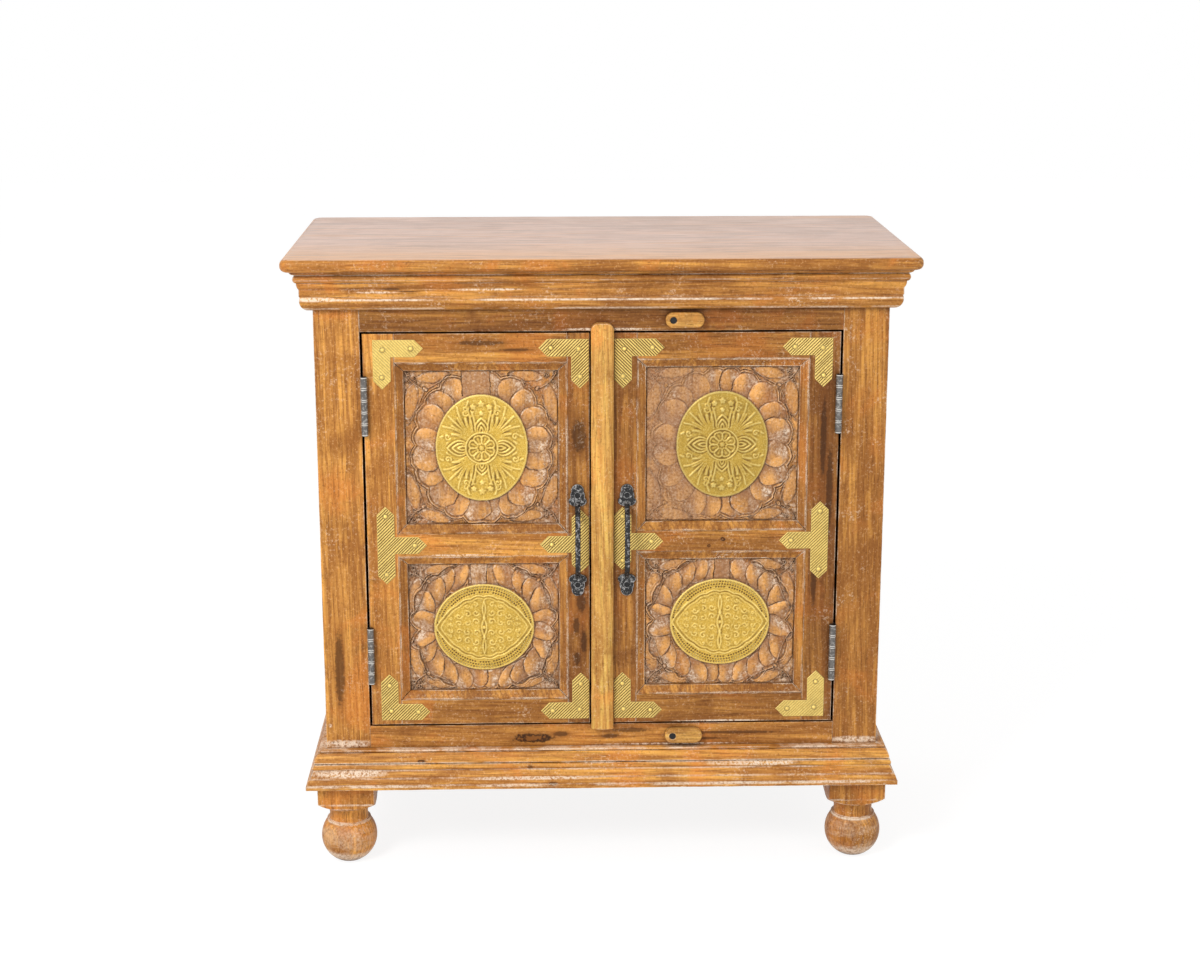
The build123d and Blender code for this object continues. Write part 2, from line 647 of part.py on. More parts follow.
# ---------------------------------------------------------------- turned feet
def foot(side, end):
    """Square block turned down to a neck, a collar and a flattened ball, with a dowel into the post."""
    x, y = foot_centre(side, end)
    floor_radius = sqrt(BALL_RADIUS**2 - BALL_CENTRE_HEIGHT**2)
    collar_foot = BALL_CENTRE_HEIGHT + sqrt(BALL_RADIUS**2 - COLLAR_RADIUS**2)
    neck_foot = collar_foot + COLLAR_HEIGHT
    corner = FOOT_SIZE / sqrt(2) + 1.0
    pommel_top = NECK_TOP_HEIGHT + POMMEL_HEIGHT
    collar_foot_point = (COLLAR_RADIUS, collar_foot)
    neck_foot_point = (NECK_RADIUS, neck_foot)
    neck_top_point = (NECK_RADIUS + NECK_COVE, NECK_TOP_HEIGHT)
    axial = Plane(origin=(x, y, 0), x_dir=(1, 0, 0), z_dir=(0, -1, 0))
    with BuildPart() as piece:
        with BuildSketch(axial):
            with BuildLine():
                Line((0, 0), (floor_radius, 0))
                ThreePointArc((floor_radius, 0), (BALL_RADIUS, BALL_CENTRE_HEIGHT), collar_foot_point)
                Polyline(collar_foot_point, (COLLAR_RADIUS, neck_foot), neck_foot_point)
                ThreePointArc(
                    neck_foot_point,
                    (NECK_RADIUS - NECK_COVE / 2, (neck_foot + NECK_TOP_HEIGHT) / 2),
                    neck_top_point,
                )
                ThreePointArc(
                    neck_top_point,
                    ((neck_top_point[0] + corner) / 2, NECK_TOP_HEIGHT + 0.32 * POMMEL_HEIGHT),
                    (corner, pommel_top),
                )
                Polyline((corner, pommel_top), (corner, FOOT_HEIGHT), (0, FOOT_HEIGHT), (0, 0))
            make_face()
        revolve(axis=Axis((x, y, 0), (0, 0, 1)))
        with Locations((x, y, FOOT_HEIGHT / 2)):
            Box(FOOT_SIZE, FOOT_SIZE, FOOT_HEIGHT, mode=Mode.INTERSECT)
        with Locations((x, y, FOOT_HEIGHT)):
            Cylinder(
                FOOT_DOWEL_RADIUS,
                FOOT_DOWEL_LENGTH,
                align=(Align.CENTER, Align.CENTER, Align.MIN),
            )
    return piece


for side_name, side in SIDES.items():
    for end in ("front", "rear"):
        turned_foot = foot(side, end)
        save(turned_foot, f"{end}_{side_name}_foot")


# ---------------------------------------------------------------- door frames
def door_levels(name):
    """Height range of each rail of a door."""
    lower_opening_bottom = DOOR_BOTTOM + DOOR_BOTTOM_RAIL[name]
    lower_opening_top = lower_opening_bottom + LOWER_OPENING[name]
    return {
        "bottom": (DOOR_BOTTOM, lower_opening_bottom),
        "mid": (lower_opening_top, lower_opening_top + DOOR_MID_RAIL[name]),
        "top": (DOOR_TOP - DOOR_TOP_RAIL[name], DOOR_TOP),
    }


def panel_openings(name):
    """Height range of the two openings of a door."""
    levels = door_levels(name)
    return {
        "lower": (levels["bottom"][1], levels["mid"][0]),
        "upper": (levels["mid"][1], levels["top"][0]),
    }


def depth_range(start, thickness):
    """Depth range, from a distance behind the door's face."""
    return DOOR_FACE + start, DOOR_FACE + start + thickness


def door_tenons(name, level):
    """The two tenons of a door rail."""
    z_low, z_high = door_levels(name)[level]
    y_range = depth_range(PANEL_DEPTH + (PANEL_THICKNESS - DOOR_TENON_THICKNESS) / 2, DOOR_TENON_THICKNESS)
    z_range = (z_low + DOOR_TENON_SHOULDER, z_high - DOOR_TENON_SHOULDER)
    side = SIDES[name]
    return (
        across(side, PANEL_EDGE_X - DOOR_TENON_LENGTH, PANEL_EDGE_X, y_range, z_range),
        across(side, STILE_INNER_X, STILE_INNER_X + DOOR_TENON_LENGTH, y_range, z_range),
    )


def panel_board(name, which, tongue):
    """Corners of a door panel's board whose edges stand a tongue into the grooves."""
    z_low, z_high = panel_openings(name)[which]
    return across(
        SIDES[name],
        PANEL_EDGE_X - tongue,
        STILE_INNER_X + tongue,
        depth_range(PANEL_DEPTH, PANEL_THICKNESS),
        (z_low - tongue, z_high + tongue),
    )


def door_cuts(name):
    """Cuts the panel grooves and the nail holes into whichever member of a door is being built."""
    for which in ("lower", "upper"):
        block(*groove_of(panel_board(name, which, PANEL_TONGUE)), mode=Mode.SUBTRACT)
    plate_nails(name, FASTENER_CLEARANCE, Mode.SUBTRACT)


# ---------------------------------------------------------------- brass plates and their nails
def tee_height(name):
    """Height of the middle of a door's tee plates."""
    return sum(door_levels(name)["mid"]) / 2


def plate_corners(name):
    """Outer corner of each corner plate, with the directions of its two legs."""
    side = SIDES[name]
    if name == "right":
        near = ASTRAGAL_WIDTH / 2 + PLATE_MEETING_MARGIN
    else:
        near = MEETING_EDGE_X[name] + PLATE_MEETING_MARGIN
    far = HINGE_EDGE_X - PLATE_HINGE_MARGIN[name]
    low, high = DOOR_BOTTOM + PLATE_BOTTOM_MARGIN, DOOR_TOP - PLATE_TOP_MARGIN
    return (
        (side * near, low, side, 1),
        (side * far, low, -side, 1),
        (side * near, high, side, -1),
        (side * far, high, -side, -1),
    )


def tee_roots(name):
    """Outer edge of each tee plate, its leg's direction and its reach up and down."""
    (near_x, _, near_way, _), (far_x, _, far_way, _) = plate_corners(name)[:2]
    return (
        (near_x, near_way, TEE_UPPER_REACH, TEE_LOWER_REACH),
        (far_x, far_way, TEE_HALF_HEIGHT, TEE_HALF_HEIGHT),
    )


def corner_plate_outline(x, z, way_x, way_z):
    """An L with pointed ends, drawn from its outer corner."""
    straight = PLATE_LEG - PLATE_TAPER
    half = PLATE_WIDTH / 2
    corner = [
        (0, 0),
        (straight, 0),
        (PLATE_LEG, half),
        (straight, PLATE_WIDTH),
        (PLATE_WIDTH, PLATE_WIDTH),
        (PLATE_WIDTH, straight),
        (half, PLATE_LEG),
        (0, straight),
    ]
    with BuildLine() as outline:
        Polyline(*[(x + way_x * a, z + way_z * b) for a, b in corner], close=True)
    make_face(outline.edges())


def tee_plate_outline(x, z, way_x, up, down):
    """A T lying on its side, with three pointed ends."""
    straight = PLATE_LEG - PLATE_TAPER
    half = PLATE_WIDTH / 2
    corner = [
        (0, up - PLATE_TAPER),
        (half, up),
        (PLATE_WIDTH, up - PLATE_TAPER),
        (PLATE_WIDTH, half),
        (straight, half),
        (PLATE_LEG, 0),
        (straight, -half),
        (PLATE_WIDTH, -half),
        (PLATE_WIDTH, PLATE_TAPER - down),
        (half, -down),
        (0, PLATE_TAPER - down),
    ]
    with BuildLine() as outline:
        Polyline(*[(x + way_x * a, z + b) for a, b in corner], close=True)
    make_face(outline.edges())


def nail_points(name):
    """Places of the nails on a door's face: three in each corner plate and three in each tee."""
    points = []
    for x, z, way_x, way_z in plate_corners(name):
        for a, b in (
            (NAIL_INSET, NAIL_INSET),
            (PLATE_LEG - NAIL_TIP_INSET, PLATE_WIDTH / 2),
            (PLATE_WIDTH / 2, PLATE_LEG - NAIL_TIP_INSET),
        ):
            points.append((x + way_x * a, z + way_z * b))
    middle = tee_height(name)
    for x, way_x, up, down in tee_roots(name):
        points.append((x + way_x * (PLATE_LEG - NAIL_TIP_INSET), middle))
        points.append((x + way_x * PLATE_WIDTH / 2, middle + up - NAIL_INSET))
        points.append((x + way_x * PLATE_WIDTH / 2, middle - down + NAIL_INSET))
    return points


def plate_nails(name, grow=0.0, mode=Mode.ADD):
    """Domed nails through the plates, or the holes that take their shanks."""
    for x, z in nail_points(name):
        head_plane = facing(-DOOR_PROUD - PLATE_THICKNESS, x, z)
        with Locations(head_plane):
            Cylinder(
                NAIL_SHANK_RADIUS + grow,
                NAIL_LENGTH,
                align=(Align.CENTER, Align.CENTER, Align.MAX),
                mode=mode,
            )
        if mode == Mode.ADD:
            nail_head(head_plane)


def nail_head(place):
    """A shallow dome standing on the plane."""
    with BuildSketch(Plane(origin=place.origin, x_dir=place.x_dir, z_dir=place.y_dir)) as half_dome:
        with BuildLine():
            Line((0, 0), (NAIL_HEAD_RADIUS, 0))
            RadiusArc(
                (NAIL_HEAD_RADIUS, 0),
                (0, -NAIL_HEAD_RISE),
                radius=(NAIL_HEAD_RADIUS**2 + NAIL_HEAD_RISE**2) / (2 * NAIL_HEAD_RISE),
            )
            Line((0, -NAIL_HEAD_RISE), (0, 0))
        make_face()
    revolve(half_dome.sketch, axis=Axis(place.origin, place.z_dir))


# ---------------------------------------------------------------- pulls
def pull_screw_places(name):
    """Planes of the two screw heads of a pull, sunk below its end plates."""
    x = SIDES[name] * PULL_X
    depth = DOOR_PROUD + PULL_PLATE_THICKNESS - PULL_SCREW_SUNK
    offsets = (-PULL_HOLE_SPACING / 2, PULL_HOLE_SPACING / 2)
    return [facing(-depth, x, PULL_CENTRE_Z + offset) for offset in offsets]


def pull_screws(name, grow=0.0, mode=Mode.ADD):
    """The screws of a pull, or the holes that take them."""
    for place in pull_screw_places(name):
        sunk_screw(place, PULL_SCREW_RADIUS, PULL_SCREW_HEAD, PULL_SCREW_LENGTH, grow, mode)


def pull(name):
    """Two bell-shaped end plates and a bar that stands off the door."""
    x = SIDES[name] * PULL_X
    with BuildPart() as piece:
        for way in (-1, 1):
            hole_z = PULL_CENTRE_Z + way * PULL_HOLE_SPACING / 2
            with BuildSketch(facing(-DOOR_PROUD, x, hole_z)):
                with Locations((0, way * PULL_LOBE_RISE)):
                    Circle(PULL_LOBE_RADIUS)
                Circle(PULL_EYE_RADIUS)
                with Locations((0, -way * PULL_SHOULDER_DROP)):
                    Ellipse(*PULL_SHOULDER)
            extrude(amount=PULL_PLATE_THICKNESS)
        plate_middle = DOOR_FACE - PULL_PLATE_THICKNESS / 2
        bar_y = DOOR_FACE - PULL_STANDOFF
        root = PULL_HOLE_SPACING / 2 - PULL_BAR_SET_IN
        shoulder = root - PULL_BAR_RISE_LENGTH
        with BuildLine() as path:
            FilletPolyline(
                (x, plate_middle, PULL_CENTRE_Z - root),
                (x, bar_y, PULL_CENTRE_Z - shoulder),
                (x, bar_y, PULL_CENTRE_Z + shoulder),
                (x, plate_middle, PULL_CENTRE_Z + root),
                radius=PULL_BEND_RADIUS,
            )
        with BuildSketch(Plane(origin=path.line @ 0, x_dir=(1, 0, 0), z_dir=path.line % 0)):
            RectangleRounded(PULL_BAR_WIDTH, PULL_BAR_THICKNESS, PULL_BAR_ROUNDING)
        sweep(path=path.line)
        block(
            (x - PULL_BAR_WIDTH, DOOR_FACE, PULL_CENTRE_Z - PULL_HOLE_SPACING),
            (x + PULL_BAR_WIDTH, DOOR_FACE + PULL_BAR_THICKNESS, PULL_CENTRE_Z + PULL_HOLE_SPACING),
            mode=Mode.SUBTRACT,
        )
        for place in pull_screw_places(name):
            sunk_screw(
                place,
                PULL_SCREW_RADIUS,
                PULL_SCREW_HEAD,
                PULL_SCREW_LENGTH,
                FASTENER_CLEARANCE,
                Mode.SUBTRACT,
            )
            with Locations(place):
                Cylinder(
                    PULL_SCREW_HEAD + FASTENER_CLEARANCE,
                    PULL_STANDOFF / 2,
                    align=(Align.CENTER, Align.CENTER, Align.MIN),
                    mode=Mode.SUBTRACT,
                )
    return piece


# ---------------------------------------------------------------- hinges
def hinge_leaf(side, centre, on_door):
    """One leaf with its knuckles: the post's leaf has the outer and middle ones, the door's the rest."""
    x, y = side * HINGE_AXIS_X, HINGE_AXIS_Y
    bottom = centre - HINGE_LENGTH / 2
    pitch = HINGE_LENGTH / KNUCKLES
    if on_door:
        x_near, x_far = HINGE_EDGE_X, HINGE_EDGE_X + LEAF_THICKNESS
    else:
        x_near, x_far = HALF_OPENING - LEAF_THICKNESS, HALF_OPENING
    own = [n for n in range(KNUCKLES) if (n % 2 == 1) == on_door]
    others = [n for n in range(KNUCKLES) if n not in own]
    ends = (Align.CENTER, Align.CENTER, Align.MIN)
    with BuildPart() as leaf:
        block(*across(side, x_near, x_far, (y, FRONT + LEAF_DEPTH), (bottom, bottom + HINGE_LENGTH)))
        for n in others:
            with Locations((x, y, bottom + n * pitch - KNUCKLE_GAP / 2)):
                Cylinder(BARREL_RADIUS + BARREL_CLEARANCE, pitch + KNUCKLE_GAP, align=ends, mode=Mode.SUBTRACT)
        for n in own:
            low = bottom + n * pitch + (KNUCKLE_GAP / 2 if n > 0 else 0)
            high = bottom + (n + 1) * pitch - (KNUCKLE_GAP / 2 if n < KNUCKLES - 1 else 0)
            with Locations((x, y, low)):
                Cylinder(BARREL_RADIUS, high - low, align=ends)
        with Locations((x, y, bottom)):
            Cylinder(PIN_RADIUS + PIN_CLEARANCE, HINGE_LENGTH, align=ends, mode=Mode.SUBTRACT)
        hinge_screws(side, on_door, FASTENER_CLEARANCE, Mode.SUBTRACT)
    return leaf.part


with BuildPart() as hinge_frame_leaves:
    for side in SIDES.values():
        for centre in HINGE_CENTRES:
            add(hinge_leaf(side, centre, on_door=False))
save(hinge_frame_leaves, "hinge_frame_leaves")

with BuildPart() as hinge_pins:
    for side in SIDES.values():
        for centre in HINGE_CENTRES:
            with Locations((side * HINGE_AXIS_X, HINGE_AXIS_Y, centre)):
                Cylinder(PIN_RADIUS, HINGE_LENGTH)
save(hinge_pins, "hinge_pins")

with BuildPart() as frame_screws:
    for side in SIDES.values():
        hinge_screws(side, inward=False)
    for level in ("top", "bottom"):
        button_screw(level)
save(frame_screws, "frame_screws")


# ---------------------------------------------------------------- doors
def moulding_section():
    """Panel moulding: a fillet at the frame, an ogee and a lip at the panel."""
    fillet_width = MOULDING_WIDTH * 0.16
    lip_width = MOULDING_WIDTH * 0.18
    ogee_end = MOULDING_WIDTH - lip_width
    step = MOULDING_RISE * 0.12
    turn = ((fillet_width + ogee_end) / 2, (MOULDING_RISE - step + MOULDING_LIP) / 2)
    with BuildLine() as outline:
        Polyline((0, 0), (0, MOULDING_RISE), (fillet_width, MOULDING_RISE), (fillet_width, MOULDING_RISE - step))
        RadiusArc((fillet_width, MOULDING_RISE - step), turn, radius=0.75 * MOULDING_WIDTH)
        RadiusArc(turn, (ogee_end, MOULDING_LIP), radius=-0.75 * MOULDING_WIDTH)
        Polyline((ogee_end, MOULDING_LIP), (MOULDING_WIDTH, MOULDING_LIP), (MOULDING_WIDTH, 0), (0, 0))
    make_face(outline.edges())


def opening_strips(name, which):
    """The four mitred strips round one opening of a door."""
    z_low, z_high = panel_openings(name)[which]
    x_low, x_high = sorted((SIDES[name] * PANEL_EDGE_X, SIDES[name] * STILE_INNER_X))
    board_face = DOOR_FACE + PANEL_DEPTH
    corners = [(x_low, z_low), (x_high, z_low), (x_high, z_high), (x_low, z_high)]
    strips = []
    for (x1, z1), (x2, z2) in zip(corners, corners[1:] + corners[:1]):
        length = abs(x2 - x1) + abs(z2 - z1)
        run = ((x2 - x1) / length, 0, (z2 - z1) / length)
        place = Plane(origin=(x1, board_face, z1), x_dir=run, z_dir=(0, -1, 0))
        strips.append(mitred_strip(place, length, moulding_section, -1, -1))
    return strips


def field_size(name, which):
    """Width and height of a panel's raised field, inside its moulding."""
    z_low, z_high = panel_openings(name)[which]
    margin = 2 * (MOULDING_WIDTH + FIELD_GAP)
    return STILE_INNER_X - PANEL_EDGE_X - margin, z_high - z_low - margin


def build_door(name):
    """Makes and saves every piece of one door."""
    side = SIDES[name]
    near, far = MEETING_EDGE_X[name], HINGE_EDGE_X
    levels = door_levels(name)
    whole_height = (DOOR_BOTTOM, DOOR_TOP)
    thickness = depth_range(0, DOOR_THICKNESS)

    with BuildPart() as hinge_stile:
        block(*across(side, STILE_INNER_X, far, thickness, whole_height))
        for level in levels:
            block(*grown(door_tenons(name, level)[1], JOINERY_CLEARANCE), mode=Mode.SUBTRACT)
        door_cuts(name)
        hinge_screws(side, True, FASTENER_CLEARANCE, Mode.SUBTRACT)
    save(hinge_stile, f"{name}_hinge_stile")

    with BuildPart() as meeting_stile:
        block(*across(side, near, PANEL_EDGE_X, thickness, whole_height))
        for level in levels:
            block(*grown(door_tenons(name, level)[0], JOINERY_CLEARANCE), mode=Mode.SUBTRACT)
        door_cuts(name)
        pull_screws(name, FASTENER_CLEARANCE, Mode.SUBTRACT)
    save(meeting_stile, f"{name}_meeting_stile")

    for level, z_range in levels.items():
        with BuildPart() as door_rail:
            block(*across(side, PANEL_EDGE_X, STILE_INNER_X, thickness, z_range))
            for tenon in door_tenons(name, level):
                block(*tenon)
            door_cuts(name)
        save(door_rail, f"{name}_door_{level}_rail")

    for which, (z_low, z_high) in panel_openings(name).items():
        middle = (side * PANEL_CENTRE_X, (z_low + z_high) / 2)
        field_depth = PANEL_DEPTH - DOOR_PROUD
        with BuildPart() as door_panel:
            block(*panel_board(name, which, PANEL_TONGUE))
            with BuildSketch(facing(field_depth, *middle)):
                Rectangle(*field_size(name, which))
            extrude(amount=FIELD_RISE)
        save(door_panel, f"{name}_{which}_panel")

        width, height = MEDALLION_SIZE[which]
        with BuildPart() as medallion:
            with BuildSketch(facing(field_depth - FIELD_RISE, *middle)):
                Ellipse(width / 2, height / 2)
            extrude(amount=MEDALLION_EDGE)
            with BuildSketch(facing(field_depth - FIELD_RISE - MEDALLION_EDGE, *middle)):
                Ellipse(width / 2 - MEDALLION_SHOULDER, height / 2 - MEDALLION_SHOULDER)
            extrude(amount=MEDALLION_RISE - MEDALLION_EDGE)
        save(medallion, f"{name}_{which}_medallion")

    with BuildPart() as mouldings:
        for which in ("lower", "upper"):
            for strip in opening_strips(name, which):
                add(strip)
    save(mouldings, f"{name}_door_mouldings")

    with BuildPart() as brass_plates:
        for x, z, way_x, way_z in plate_corners(name):
            with BuildSketch(facing(-DOOR_PROUD)):
                corner_plate_outline(x, z, way_x, way_z)
            extrude(amount=PLATE_THICKNESS)
        for x, way_x, up, down in tee_roots(name):
            with BuildSketch(facing(-DOOR_PROUD)):
                tee_plate_outline(x, tee_height(name), way_x, up, down)
            extrude(amount=PLATE_THICKNESS)
        plate_nails(name, FASTENER_CLEARANCE, Mode.SUBTRACT)
    save(brass_plates, f"{name}_brass_plates")

    with BuildPart() as nails:
        plate_nails(name)
    save(nails, f"{name}_plate_nails")

    iron_pull = pull(name)
    save(iron_pull, f"{name}_pull")

    with BuildPart() as leaves:
        for centre in HINGE_CENTRES:
            add(hinge_leaf(side, centre, on_door=True))
    save(leaves, f"{name}_hinge_leaves")

    with BuildPart() as door_screws:
        pull_screws(name)
        hinge_screws(side, inward=True)
    save(door_screws, f"{name}_door_screws")


for door_name in SIDES:
    build_door(door_name)

# ---------------------------------------------------------------- astragal
ASTRAGAL_BOTTOM = OPENING_BOTTOM - ASTRAGAL_BOTTOM_LAP
ASTRAGAL_TOP = OPENING_TOP + ASTRAGAL_TOP_LAP
with BuildPart() as astragal:
    half = ASTRAGAL_WIDTH / 2
    shoulder = half - ASTRAGAL_BEVEL
    shoulder_rise = (ASTRAGAL_EDGE + ASTRAGAL_THICKNESS) / 2
    with BuildSketch(Plane(origin=(0, DOOR_FACE, ASTRAGAL_BOTTOM), x_dir=(-1, 0, 0), z_dir=(0, 0, 1))):
        with BuildLine():
            Polyline(
                (-half, 0),
                (-half, ASTRAGAL_EDGE),
                (-shoulder, shoulder_rise),
                (0, ASTRAGAL_THICKNESS),
                (shoulder, shoulder_rise),
                (half, ASTRAGAL_EDGE),
                (half, 0),
                close=True,
            )
        make_face()
    extrude(amount=ASTRAGAL_TOP - ASTRAGAL_BOTTOM)
    with BuildSketch(facing(-DOOR_PROUD)):
        with Locations((0, (ASTRAGAL_BOTTOM + ASTRAGAL_TOP) / 2)):
            outline = Rectangle(ASTRAGAL_WIDTH, ASTRAGAL_TOP - ASTRAGAL_BOTTOM)
        fillet(outline.vertices().group_by(Axis.Y)[-1], ASTRAGAL_TOP_RADIUS)
        fillet(outline.vertices().group_by(Axis.Y)[0], ASTRAGAL_BOTTOM_RADIUS)
    extrude(amount=ASTRAGAL_THICKNESS, mode=Mode.INTERSECT)
save(astragal, "astragal")

# ---------------------------------------------------------------- turn buttons
for level in ("top", "bottom"):
    pivot_x, pivot_z = BUTTON_PIVOT_X[level], BUTTON_PIVOT_Z[level]
    with BuildPart() as turn_button:
        with BuildSketch(facing(-BUTTON_STANDOFF, pivot_x, pivot_z)):
            with Locations((BUTTON_LENGTH / 2 - BUTTON_WIDTH / 2, 0)):
                SlotOverall(BUTTON_LENGTH, BUTTON_WIDTH)
        extrude(amount=BUTTON_THICKNESS)
        front_rim = turn_button.faces().sort_by(Axis.Y)[0].edges()
        fillet(front_rim, BUTTON_ROUNDING)
        with BuildSketch(facing(-BUTTON_SEAT_GAP, pivot_x, pivot_z)):
            Circle(BUTTON_BOSS_RADIUS)
        extrude(amount=BUTTON_STANDOFF - BUTTON_SEAT_GAP)
        head_place = button_screw_place(level)
        with Locations(head_place):
            Cylinder(
                BUTTON_SCREW_RADIUS + BUTTON_PIVOT_CLEARANCE,
                2 * (BUTTON_THICKNESS + BUTTON_STANDOFF),
                mode=Mode.SUBTRACT,
            )
            Cylinder(
                BUTTON_SCREW_HEAD + BUTTON_HEAD_CLEARANCE,
                BUTTON_THICKNESS,
                align=(Align.CENTER, Align.CENTER, Align.MIN),
                mode=Mode.SUBTRACT,
            )
            Cone(
                BUTTON_SCREW_RADIUS + BUTTON_PIVOT_CLEARANCE,
                BUTTON_SCREW_HEAD + BUTTON_HEAD_CLEARANCE,
                BUTTON_SCREW_HEAD - BUTTON_SCREW_RADIUS + BUTTON_HEAD_CLEARANCE,
                align=(Align.CENTER, Align.CENTER, Align.MAX),
                mode=Mode.SUBTRACT,
            )
    save(turn_button, f"{level}_turn_button")
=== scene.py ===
"""Dresses the packed cabinet: worn wood, carved door panels, embossed brass, forged iron, plain stage."""

import json
import math

import bmesh
import bpy
import numpy as np
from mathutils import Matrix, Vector, noise


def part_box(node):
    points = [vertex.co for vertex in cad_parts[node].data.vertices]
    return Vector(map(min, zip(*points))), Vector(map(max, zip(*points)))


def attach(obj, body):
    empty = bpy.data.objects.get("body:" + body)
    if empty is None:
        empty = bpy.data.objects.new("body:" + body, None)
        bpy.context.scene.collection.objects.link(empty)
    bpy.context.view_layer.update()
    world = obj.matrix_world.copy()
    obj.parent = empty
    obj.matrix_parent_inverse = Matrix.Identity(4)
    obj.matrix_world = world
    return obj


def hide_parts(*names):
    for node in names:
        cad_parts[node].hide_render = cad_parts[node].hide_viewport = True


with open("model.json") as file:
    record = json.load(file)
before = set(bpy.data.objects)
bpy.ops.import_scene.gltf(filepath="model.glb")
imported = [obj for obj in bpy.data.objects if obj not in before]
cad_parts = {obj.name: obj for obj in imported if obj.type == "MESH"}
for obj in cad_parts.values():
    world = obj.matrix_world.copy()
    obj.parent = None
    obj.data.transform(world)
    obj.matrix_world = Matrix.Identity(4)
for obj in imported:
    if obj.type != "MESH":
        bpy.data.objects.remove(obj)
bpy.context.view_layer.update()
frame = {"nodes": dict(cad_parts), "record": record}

bl_info = {
    "name": "Carved cabinet",
    "version": (1, 0, 0),
    "blender": (4, 5, 0),
    "location": "View3D > Sidebar > Cabinet",
    "description": "Makes the worn wood, the carving and the metal fittings of a carved cabinet",
    "category": "Object",
}

MM = 0.001
SIDES = ("left", "right")
BODY_OF = {node: body for body, nodes in frame["record"]["behaviour"]["bodies"].items() for node in nodes}

WELD = 1e-6  # points nearer than this are one point, in metres as all these are
LEVEL = 1e-5  # points nearer than this to a face lie in it
PROUD = 0.2 * MM  # how far wear may stand out of a node's box
RIM_ANGLE = 0.15  # radians between two faces, above which their edge wears
FLAT_WEAR = 0.25  # share of the wear that the points of flat faces get
CHAMFER = 0.6 * MM  # of the brass plates
SHORTEST_RIM = 3.0 * MM  # edges of a plate shorter than this belong to nail holes and get no chamfer
RIM_SHINE = 0.9  # how bright the chamfer is painted: rubbed brass and a painted highlight
GROOVE_EDGES = (-0.32, -0.15, 0.15, 0.32)  # where each hatched line is cut, in shares of the lines' spacing
GROOVE_HALF = 0.22  # the cuts nearer than this share to a line's middle are sunk
NAIL_HEAD = 2.0 * MM  # height of a nail's head
COLLAR = ((2.6, -0.05), (2.7, 0.3), (4.1, 0.2), (4.3, -0.05))  # radius and height of its rings in millimetres
COLLAR_SIDES = 20
KNUCKLE = 16.8 * MM  # length of one knuckle of a hinge
KNUCKLES = 5
CURVE_POINTS = 22
SCRATCHES = 70
CORNERS = ((-1, -1), (-1, 1), (1, -1), (1, 1))
GRAIN_STRETCH = {"X": (0.05, 1.0, 1.0), "Y": (1.0, 0.05, 1.0), "Z": (1.0, 1.0, 0.05)}
FLOOR_HALF = 9.0
CAMERA_PLACE = (-0.0872, -3.1124, 1.3192)
CAMERA_TURNS = (75.8, 0.0, -1.65)  # degrees about X, Y and Z


# ---------------------------------------------------------------- settings
def length(name, description, default, low=0.0, high=1.0):
    """A length property in metres."""
    return bpy.props.FloatProperty(
        name=name, description=description, default=default, min=low, max=high, unit="LENGTH", precision=4
    )


def share(name, description, default):
    """A property from 0 to 1."""
    return bpy.props.FloatProperty(
        name=name, description=description, default=default, min=0.0, max=1.0, subtype="FACTOR"
    )


def colour(name, description, default):
    """A colour property."""
    return bpy.props.FloatVectorProperty(
        name=name, description=description, default=default, size=3, min=0.0, max=1.0, subtype="COLOR"
    )


class WoodSettings(bpy.types.PropertyGroup):
    """Colours and wear of the wood."""

    light: colour("Light wood", "Colour of the lightest, honey-coloured wood", (0.76, 0.345, 0.075))
    dark: colour("Dark wood", "Colour of the darkest brown wood", (0.15, 0.05, 0.012))
    pale: colour("Pale wood", "Colour of the astragal and the turn buttons", (0.79, 0.42, 0.105))
    # The top colour is partly the waxed wood and partly a painted reflection on the upper side.
    top: colour("Top", "Colour of the waxed upper side of the top board", (0.7, 0.49, 0.4))
    plain: colour("Plain wood", "Colour of the boards inside", (0.45, 0.26, 0.13))
    wash: colour("Whitewash", "Colour of the old paint left on edges and in the carving", (0.86, 0.7, 0.54))
    wear: share("Wear", "How much pale wear the edges show", 0.9)
    figure: share("Figure", "How strongly the grain shows", 0.75)
    dent: length("Dents", "Depth of the unevenness left by wear", 0.5 * MM, 0.0, 0.002)


class CarvingSettings(bpy.types.PropertyGroup):
    """Sizes and colours of the carving round the medallions."""

    depth: length("Depth", "Depth of the carved ground below the panel's face", 4.8 * MM, 0.0005, 0.006)
    step: length("Mesh step", "Spacing of the carved mesh", 0.65 * MM, 0.0003, 0.003)
    reach: length("Reach", "How far the wreath stands out from the medallion", 31.0 * MM, 0.01, 0.05)
    lobes: bpy.props.IntProperty(
        name="Lobes", description="Lobes of the wreath on each side of the medallion",
        default=10, min=4, max=14,
    )
    # The high-spot colour is rubbed wood, and also painted highlight on the lobes' raised flanks and tops.
    high: colour("High spots", "Colour of the rubbed, orange tops of the carving", (0.84, 0.41, 0.115))
    # The hollow colour is brown wood, and also painted shade on the lobes' covered flanks; darkened, it
    # paints shade in the cuts.
    low: colour("Hollows", "Colour of the brown hollows of the carving", (0.33, 0.155, 0.068))


